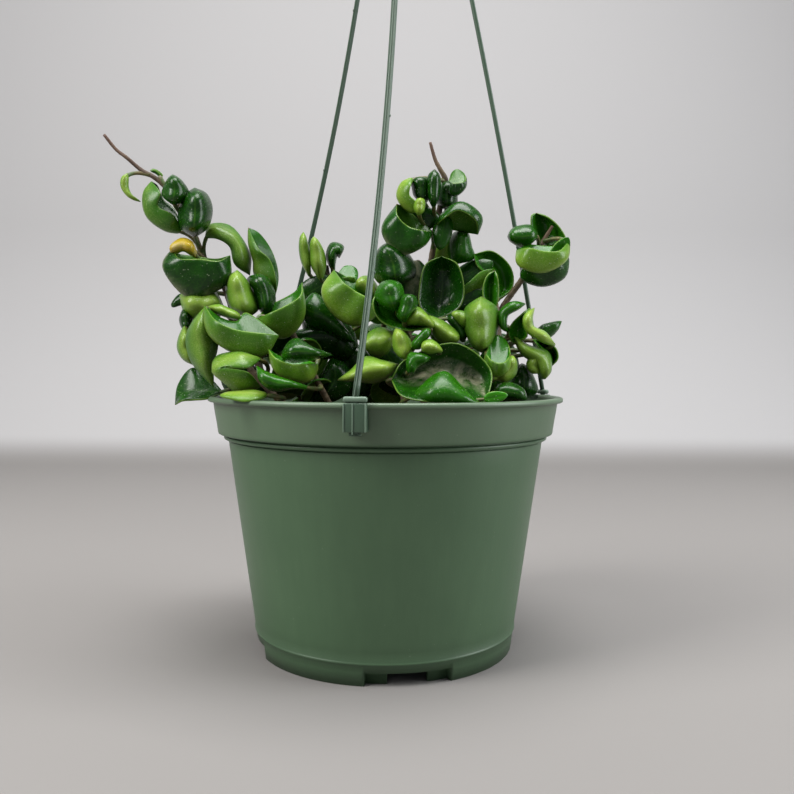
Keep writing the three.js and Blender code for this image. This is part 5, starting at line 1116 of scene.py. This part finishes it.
def pot_shell():
    """The pot's wall, rim band, foot and floor as one turned profile.

    Each profile point's radius and height may change with the azimuth: the foot steps inwards
    at the four notches, and its lower edge rises to the floor at the open middle of each.
    """
    azimuths = [np.linspace(-180, 180, POT_SIDES + 1)[:-1]]
    for middle in NOTCH_AZIMUTHS:
        for across in (NOTCH_GAP / 2, NOTCH_WIDTH / 2):
            for side in (-1, 1):
                edge = middle + side * math.degrees(across / FOOT_RADIUS)
                azimuths.append([edge - 0.12, edge + 0.12])
    azimuth = np.unique(np.mod(np.concatenate(azimuths) + 180, 360) - 180)
    off = np.abs(np.mod(azimuth[:, None] - np.array(NOTCH_AZIMUTHS) + 180, 360) - 180).min(axis=1)
    across = np.radians(off) * FOOT_RADIUS
    stepped = (across < NOTCH_WIDTH / 2).astype(float)
    open_foot = (across < NOTCH_GAP / 2).astype(float)
    low = open_foot * (FLOOR_UNDER_Z - 0.02)
    foot_in = stepped * NOTCH_DEPTH
    flat = np.zeros_like(azimuth)
    profile = [
        (flat + FLOOR_RING_RADIUS, flat + FLOOR_UNDER_Z),
        (FOOT_RADIUS - WALL - 1 - foot_in, flat + FLOOR_UNDER_Z),
        (FOOT_RADIUS - WALL - foot_in, flat + FLOOR_UNDER_Z - 0.01),
        (FOOT_RADIUS - WALL - foot_in, low),
        (FOOT_RADIUS - foot_in, low),
        (outer(FLOOR_UNDER_Z - 0.3) - foot_in, flat + FLOOR_UNDER_Z - 0.2),
        (outer(FLOOR_UNDER_Z) + flat, flat + FLOOR_UNDER_Z),
    ]
    for b in np.linspace(-1, 1, 7):
        bulge = 0.4 * math.cos(b * math.pi / 2)
        profile.append((flat + outer(BEAD_Z + 0.8 * b) + bulge, flat + BEAD_Z + 0.8 * b))
    profile += [(flat + outer(z), flat + z) for z in np.linspace(14, STEP_Z - 1.2, 12)]
    rim = [
        (WALL_TOP_RADIUS - 0.05, STEP_Z - 1.1), (WALL_TOP_RADIUS - GROOVE, STEP_Z - 0.9),
        (WALL_TOP_RADIUS - GROOVE, STEP_Z - 0.4), (STEP_RADIUS - 0.15, STEP_Z - 0.3),
        (STEP_RADIUS + 0.1, STEP_Z - 0.1), (STEP_RADIUS + 0.2, BAND_FOOT_Z - 1.35),
        (STEP_RADIUS, BAND_FOOT_Z - 1.15), (STEP_RADIUS - GROOVE, BAND_FOOT_Z - 1.05),
        (STEP_RADIUS - GROOVE, BAND_FOOT_Z - 0.3), (BAND_FOOT_RADIUS - 0.4, BAND_FOOT_Z - 0.2),
        (BAND_FOOT_RADIUS - 0.1, BAND_FOOT_Z),
        (BAND_FOOT_RADIUS + 0.05, BAND_FOOT_Z + 0.5), (BAND_FOOT_RADIUS + 0.7, BAND_FOOT_Z + 5),
        (BAND_TOP_RADIUS - 0.6, POT_HEIGHT - 6), (BAND_TOP_RADIUS - 0.1, POT_HEIGHT - LIP_THICK - 0.6),
        (BAND_TOP_RADIUS + 0.3, POT_HEIGHT - LIP_THICK), (LIP_RADIUS - 0.5, POT_HEIGHT - LIP_THICK),
        (LIP_RADIUS - 0.1, POT_HEIGHT - LIP_THICK + 0.25), (LIP_RADIUS, POT_HEIGHT - LIP_THICK + 0.8),
        (LIP_RADIUS - 0.05, POT_HEIGHT - 0.6), (LIP_RADIUS - 0.4, POT_HEIGHT - 0.15),
        (LIP_RADIUS - 0.9, POT_HEIGHT), (BAND_TOP_RADIUS - WALL + 0.8, POT_HEIGHT),
        (BAND_TOP_RADIUS - WALL + 0.2, POT_HEIGHT - 0.3), (BAND_TOP_RADIUS - WALL, POT_HEIGHT - 1.2),
        (BAND_FOOT_RADIUS - WALL, BAND_FOOT_Z + 1.2), (WALL_TOP_RADIUS - WALL, STEP_Z),
        (outer(FLOOR_TOP_Z) - WALL, FLOOR_TOP_Z), (outer(FLOOR_TOP_Z) - WALL - 1, FLOOR_TOP_Z),
        (FLOOR_RING_RADIUS, FLOOR_TOP_Z),
    ]
    profile += [(flat + r, flat + z) for r, z in rim]
    radius = np.array([np.broadcast_to(r, azimuth.shape) for r, _ in profile])
    height = np.array([z for _, z in profile])
    turn = np.radians(azimuth)
    rings = np.stack([radius * np.sin(turn), -radius * np.cos(turn), height], -1)
    return closed_rings(rings, [0, 0, FLOOR_UNDER_Z], [0, 0, FLOOR_TOP_Z])


def pocket_shells(azimuth):
    """The pocket that an arm drops into: a plate with ribs round its slot, closed behind."""
    high = POT_HEIGHT - POCKET_FOOT_Z
    z = POCKET_FOOT_Z + high / 2
    inner, outer = BAND_FOOT_RADIUS + 0.4, POCKET_OUT + POCKET_REACH
    slot_in, slot_out = POCKET_OUT - SLOT_DEEP / 2, POCKET_OUT + SLOT_DEEP / 2
    cheek = (POCKET_WIDTH - SLOT_WIDTH) / 2
    cheek_out = outer - 0.35
    plate_deep = outer - slot_out
    behind = [POCKET_WIDTH, slot_in - inner, high]
    # The middle ridge and the two edge ribs take the third, paler plastic: a painted highlight where light
    # catches them.
    shells = [
        rounded_block(behind, (slot_in + inner) / 2, z, azimuth, 0, 0.3, 1),
        rounded_block([POCKET_WIDTH, plate_deep, high], (slot_out + outer) / 2, z, azimuth, 0, 0.25, 1),
        rounded_block([0.5, 0.8, high + 0.8], outer, z - 0.4, azimuth, -0.7, 0.22, 2),
    ]
    for side in (-1, 1):
        across = side * (SLOT_WIDTH / 2 + cheek / 2)
        cheek_size = [cheek, cheek_out - inner, high - 0.2]
        shells.append(rounded_block(cheek_size, (inner + cheek_out) / 2, z, azimuth, across, 0.3, 1))
        edge = side * (POCKET_WIDTH / 2 - 0.28)
        shells.append(rounded_block([0.56, 0.9, high], outer - 0.1, z, azimuth, edge, 0.25, 2))
    return shells


# Hanger


def arm_shells(azimuth, bow):
    """One arm: a strand with ridges and small nubs, its cross bar, tongue and barb.

    The strand's section is a flat oval. Its half-thickness is a constant plus a ridge height
    times the squared cosine of the distance across, one and a half waves over the width.
    """
    width_way = rotated([1.0, 0, 0], azimuth)
    out_way = rotated([0, -1.0, 0], azimuth)
    start = out_way * POCKET_OUT + [0, 0, BAR_FOOT_Z + BAR_HEIGHT / 2]
    end = HUB + out_way * (HUB_RADIUS - HUB_SLOT_DEPTH + GAP)
    middle = (start + end) / 2 + [bow, 0, 0]
    path = bent(start, middle, end, STRAND_STEPS)
    turn = around(STRAND_SIDES)
    across = ARM_WIDTH / 2 * np.cos(turn)
    ridge = RIDGE_HIGH * np.cos(across / ARM_WIDTH * 3 * math.pi + 0.6) ** 2
    half_thick = ARM_THICK / 2 - RIDGE_HIGH + ridge
    thick = np.sign(np.sin(turn)) * np.abs(np.sin(turn)) ** 0.6 * half_thick
    strand = swept(path, np.stack([across, thick], -1), width_way)
    # The cross bar takes the second, paler plastic: a painted highlight on the bar.
    bar_size = [BAR_WIDTH, BAR_DEEP, BAR_HEIGHT]
    bar = rounded_block(bar_size, POCKET_OUT, BAR_FOOT_Z + BAR_HEIGHT / 2, azimuth, 0, 0.85, 1)
    high = BAR_FOOT_Z + 1 - TONGUE_END_Z
    tongue_size = [TONGUE_WIDTH, TONGUE_THICK, high]
    tongue = rounded_block(tongue_size, POCKET_OUT, TONGUE_END_Z + high / 2, azimuth, 0, 0.25)
    barb_size = [BARB_WIDTH, TONGUE_THICK, BARB_HEIGHT]
    barb = rounded_block(barb_size, POCKET_OUT, TONGUE_END_Z + BARB_HEIGHT / 2, azimuth, 0, 0.3)
    shells = [strand, bar, tongue, barb]
    way = unit(np.gradient(path, axis=0))
    for place in NUB_STEPS:
        centre = path[place] + width_way * ARM_WIDTH * 0.5
        nub = centre + np.outer([-0.7, -0.35, 0, 0.35, 0.7], way[place])
        shells.append(tube(nub, np.array([0.1, 0.32, 0.42, 0.32, 0.1]), 8))
    return shells


def hook_shells():
    """The hub with its rounded edges, and the round hook swept along an upright and an arc."""
    x, y, z = HUB
    low, high = z - HUB_HALF_HEIGHT, z + HUB_HALF_HEIGHT
    profile = [(0, low), (HUB_RADIUS - 0.8, low), (HUB_RADIUS - 0.2, low + 0.3), (HUB_RADIUS, low + 0.9),
               (HUB_RADIUS, high - 0.9), (HUB_RADIUS - 0.2, high - 0.3), (HUB_RADIUS - 0.8, high), (0, high)]
    hub = turned(profile, HUB_SIDES)
    hub.points += [x, y, 0]
    neck_top = high + HOOK_NECK
    points = [[x, y, high - 1], [x, y, neck_top]]
    for turn in np.radians(range(20, 201, 20)):
        out = HOOK_RADIUS * (1 - math.cos(turn))
        points.append([x - out, y, neck_top + HOOK_RADIUS * math.sin(turn)])
    turn = around(HOOK_SIDES)
    section = np.stack([np.cos(turn) * HOOK_WIDTH / 2, np.sin(turn) * HOOK_THICK / 2], -1)
    hook = swept(spline(points, HOOK_STEPS), section, np.array([0, 1.0, 0]))
    return [hub, hook]


# Soil


def mound(r):
    """How much of the soil's mound there is at a radius: all of it inside, none near the wall."""
    return np.clip(1.6 - r / 45, 0, 1)


def soil_shell():
    """A disc of potting mix with a lumpy top, over the plain body below it.

    The top's height is a shallow mound plus two products of sine waves, a long and a short one.
    """
    radius = np.linspace(0.02, 1, SOIL_RINGS) ** 0.8 * (BAND_FOOT_RADIUS - WALL - SOIL_EDGE_GAP)
    angle = around(SOIL_SIDES)
    r, a = np.meshgrid(radius, angle, indexing="ij")
    x, y = r * np.cos(a), r * np.sin(a)
    lumps = 0.5 * np.sin(x * 0.9 + 1.3 * np.sin(y * 0.7)) * np.sin(y * 0.8 + 0.6)
    lumps = lumps + 0.35 * np.sin(x * 2.3 + y * 1.1) * np.sin(y * 2.7 - x * 0.9)
    z = SOIL_TOP_Z + SOIL_MOUND * mound(r) - 0.85 + lumps
    top = np.stack([x, y, z], -1)[::-1]
    low_radius = outer(FLOOR_TOP_Z) - WALL - GAP
    high_radius = outer(STEP_Z) - WALL - GAP - 0.2
    rings = [
        np.stack([level_radius * np.cos(angle), level_radius * np.sin(angle), np.full(SOIL_SIDES, level)], -1)
        for level_radius, level in ((low_radius, FLOOR_TOP_Z + GAP), (high_radius, STEP_Z - 1))]
    whole = np.concatenate([rings, top])
    return closed_rings(whole, [0, 0, FLOOR_TOP_Z + GAP], [0, 0, SOIL_TOP_Z + SOIL_MOUND - 0.6])


def chip_shells():
    """Bark chips: squashed seven-sided beads with a few draws of size, turn and tilt each."""
    draw = np.random.default_rng(CHIP_SEED)
    angle = around(CHIP_SIDES)
    level = np.array([-0.8, -0.35, 0.35, 0.8])
    shells = []
    for _ in range(CHIP_COUNT):
        r, a = CHIP_SPREAD * math.sqrt(draw.random()), draw.random() * 2 * math.pi
        size = draw.uniform([1.2, 0.6, 0.35], [3.6, 1.6, 0.8])
        turn, tilt = draw.random() * math.pi, draw.uniform(-0.4, 0.4)
        wobble = 1 + draw.uniform(-0.25, 0.25, (len(level), CHIP_SIDES))
        flat = np.sqrt(1 - level**2)[:, None] * wobble
        x, y = flat * np.cos(angle) * size[0], flat * np.sin(angle) * size[1]
        z = np.broadcast_to(level[:, None], x.shape) * size[2] + x * math.tan(tilt)
        across, along = x * math.cos(turn) - y * math.sin(turn), x * math.sin(turn) + y * math.cos(turn)
        lift = SOIL_TOP_Z + SOIL_MOUND * mound(r) - 0.6
        centre = np.array([r * math.cos(a), r * math.sin(a), lift])
        poles = (centre - [0, 0, size[2]], centre + [0, 0, size[2]])
        shells.append(closed_rings(np.stack([across, along, z], -1) + centre, *poles))
    return shells


# The object

specks = speckle_group()
moulding = moulding_group()
waxy_leaf = leaf_material()
stem_bark = stem_material()
leaf_stalk = petiole_material()
# The pot's last number sets its painted light on the rim band and lip and its painted shade at the foot.
pot_plastic = plastic_material("pot_plastic", (0.049, 0.1, 0.047), (0.07, 0.132, 0.064), 0.25, 0.25)
hanger_plastic = plastic_material("hanger_plastic", (0.034, 0.068, 0.039), (0.068, 0.122, 0.074), 0.3, 0)
# A paler copy of the hanger plastic, a painted highlight, for the pocket ribs and the arms' cross bars.
highlight_plastic = plastic_material("highlight_plastic", (0.1, 0.155, 0.105), (0.17, 0.235, 0.175), 0.3, 0)
potting_mix = soil_material()
bark_chip = bark_material()

pot_parts = [pot_shell()]
pot_parts += [shell for azimuth in ARM_AZIMUTHS.values() for shell in pocket_shells(azimuth)]
centre_foot = [(0, 0), (CENTRE_FOOT_RADIUS - 0.5, 0), (CENTRE_FOOT_RADIUS, 0.5),
               (CENTRE_FOOT_RADIUS, FLOOR_UNDER_Z + 0.5), (0, FLOOR_UNDER_Z + 0.5)]
pot_parts.append(turned(centre_foot, HUB_SIDES))
make_piece("nursery_pot", pot_parts, [pot_plastic, hanger_plastic, highlight_plastic], ["pot"])

make_piece("potting_mix_body", [soil_shell()], [potting_mix], ["soil"])
make_piece("potting_mix_chips", chip_shells(), [bark_chip])

make_piece("hanger_hub_and_hook", hook_shells(), [hanger_plastic], ["hanger_hook"])
for side, azimuth in ARM_AZIMUTHS.items():
    shells = arm_shells(azimuth, ARM_BOWS[side])
    plastics = [hanger_plastic, highlight_plastic]
    make_piece("hanger_strand_" + side, shells, plastics, ["hanger_arm_" + side])


def stem_curve(root, path):
    """A stem's curve from its collar just above the soil."""
    return spline(np.concatenate([[[*root, COLLAR_Z]], path]))


def make_stem(name, root, curve, leaves, bare=0):
    """The piece of one leafy stem. The leaves' own draws go round from 0 to 1 in even steps."""
    shells = stalks(root, curve, leaves, bare)
    for number, (leaf, (light, *scar)) in enumerate(leaves):
        shells.append(leaf_shell(leaf, [light, (number * 0.37) % 1, *(scar or [0])]))
    make_piece("leafy_" + name, shells, [waxy_leaf, stem_bark, leaf_stalk], [name])


for name, stem in FRONT_STEMS.items():
    curve = stem_curve(stem["root"], [seat(*place) for place in stem["path"]])
    make_stem(name, stem["root"], curve, front_leaves(stem), stem["bare"])

for name, (root, path, seed) in BACK_STEMS.items():
    curve = stem_curve(root, path)
    make_stem(name, root, curve, back_leaves(curve, seed))


# Stage, light and camera


def stage_material():
    """A matt grey floor that turns into a paler wall."""
    material, tree, shader, coords = new_material("stage_pale")
    near_floor = ramp(tree, split(tree, coords)[2], 0.0, 0.03)
    colour = mixed(tree, near_floor, (0.19, 0.18, 0.172), (0.37, 0.362, 0.362))
    feed(tree, shader, {"Base Color": colour, "Roughness": 0.9})
    return material


def make_stage():
    """A floor that curves up into a wall behind the plant, in metres."""
    radius, back, wide, high = 0.35, 0.95, 3.0, 3.0
    turn = np.linspace(0, math.pi / 2, 17)
    bend = np.stack([back - radius + radius * np.sin(turn), radius - radius * np.cos(turn)], -1)
    line = np.concatenate([[[-1.5, 0]], bend, [[back, high]]])
    points = np.array([[x, y, z] for x in (-wide, wide) for y, z in line])
    count = len(line)
    faces = [[i, i + count, i + count + 1, i + 1] for i in range(count - 1)]
    mesh = bpy.data.meshes.new("stage")
    mesh.from_pydata(points.tolist(), [], faces)
    mesh.polygons.foreach_set("use_smooth", np.ones(len(faces), bool))
    mesh.materials.append(stage_material())
    stage = bpy.data.objects.new("stage", mesh)
    bpy.context.scene.collection.objects.link(stage)


def place_at(obj, right, up, back, place):
    """Put an object in the scene at a place in metres, turned to its three directions."""
    bpy.context.scene.collection.objects.link(obj)
    matrix = np.eye(4)
    matrix[:3] = np.stack([right, up, back, place], -1)
    obj.matrix_world = Matrix(matrix.tolist())


def area_light(name, place, size, power, colour):
    """A rectangular lamp at a place in metres that shines towards LAMP_TARGET."""
    lamp = bpy.data.lights.new(name, "AREA")
    lamp.shape = "RECTANGLE"
    lamp.size, lamp.size_y = size
    lamp.energy = power
    lamp.color = colour
    back = unit(np.subtract(place, LAMP_TARGET))
    right = unit(np.cross([0, 0, 1.0], back))
    place_at(bpy.data.objects.new(name, lamp), right, np.cross(back, right), back, place)


def make_light():
    """A dim cool sky and the lamps."""
    world = bpy.data.worlds.new("studio")
    world.use_nodes = True
    feed(world.node_tree, world.node_tree.nodes["Background"], {0: (0.9, 0.93, 1.0), 1: 0.3})
    bpy.context.scene.world = world
    for name, lamp in LAMPS.items():
        area_light(name, *lamp)


def make_camera():
    """The camera at the photograph's place, from its yaw, pitch and roll."""
    yaw, pitch, roll = np.radians([EYE_YAW, EYE_PITCH, EYE_ROLL])
    level = math.cos(pitch)
    forward = np.array([math.sin(yaw) * level, math.cos(yaw) * level, math.sin(pitch)])
    right = np.array([math.cos(yaw), -math.sin(yaw), 0.0])
    up = np.cross(right, forward)
    rolled_right = math.cos(roll) * right + math.sin(roll) * up
    rolled_up = math.cos(roll) * up - math.sin(roll) * right
    camera = bpy.data.cameras.new("camera")
    camera.sensor_fit = "HORIZONTAL"
    camera.sensor_width = SENSOR_WIDTH
    camera.lens = SENSOR_WIDTH * FOCAL_PX / FRAME_PX
    camera.clip_start = 0.01
    obj = bpy.data.objects.new("camera", camera)
    place_at(obj, rolled_right, rolled_up, -forward, EYE * MM)
    bpy.context.scene.camera = obj


make_stage()
make_light()
make_camera()

bpy.context.scene.view_settings.view_transform = "Standard"
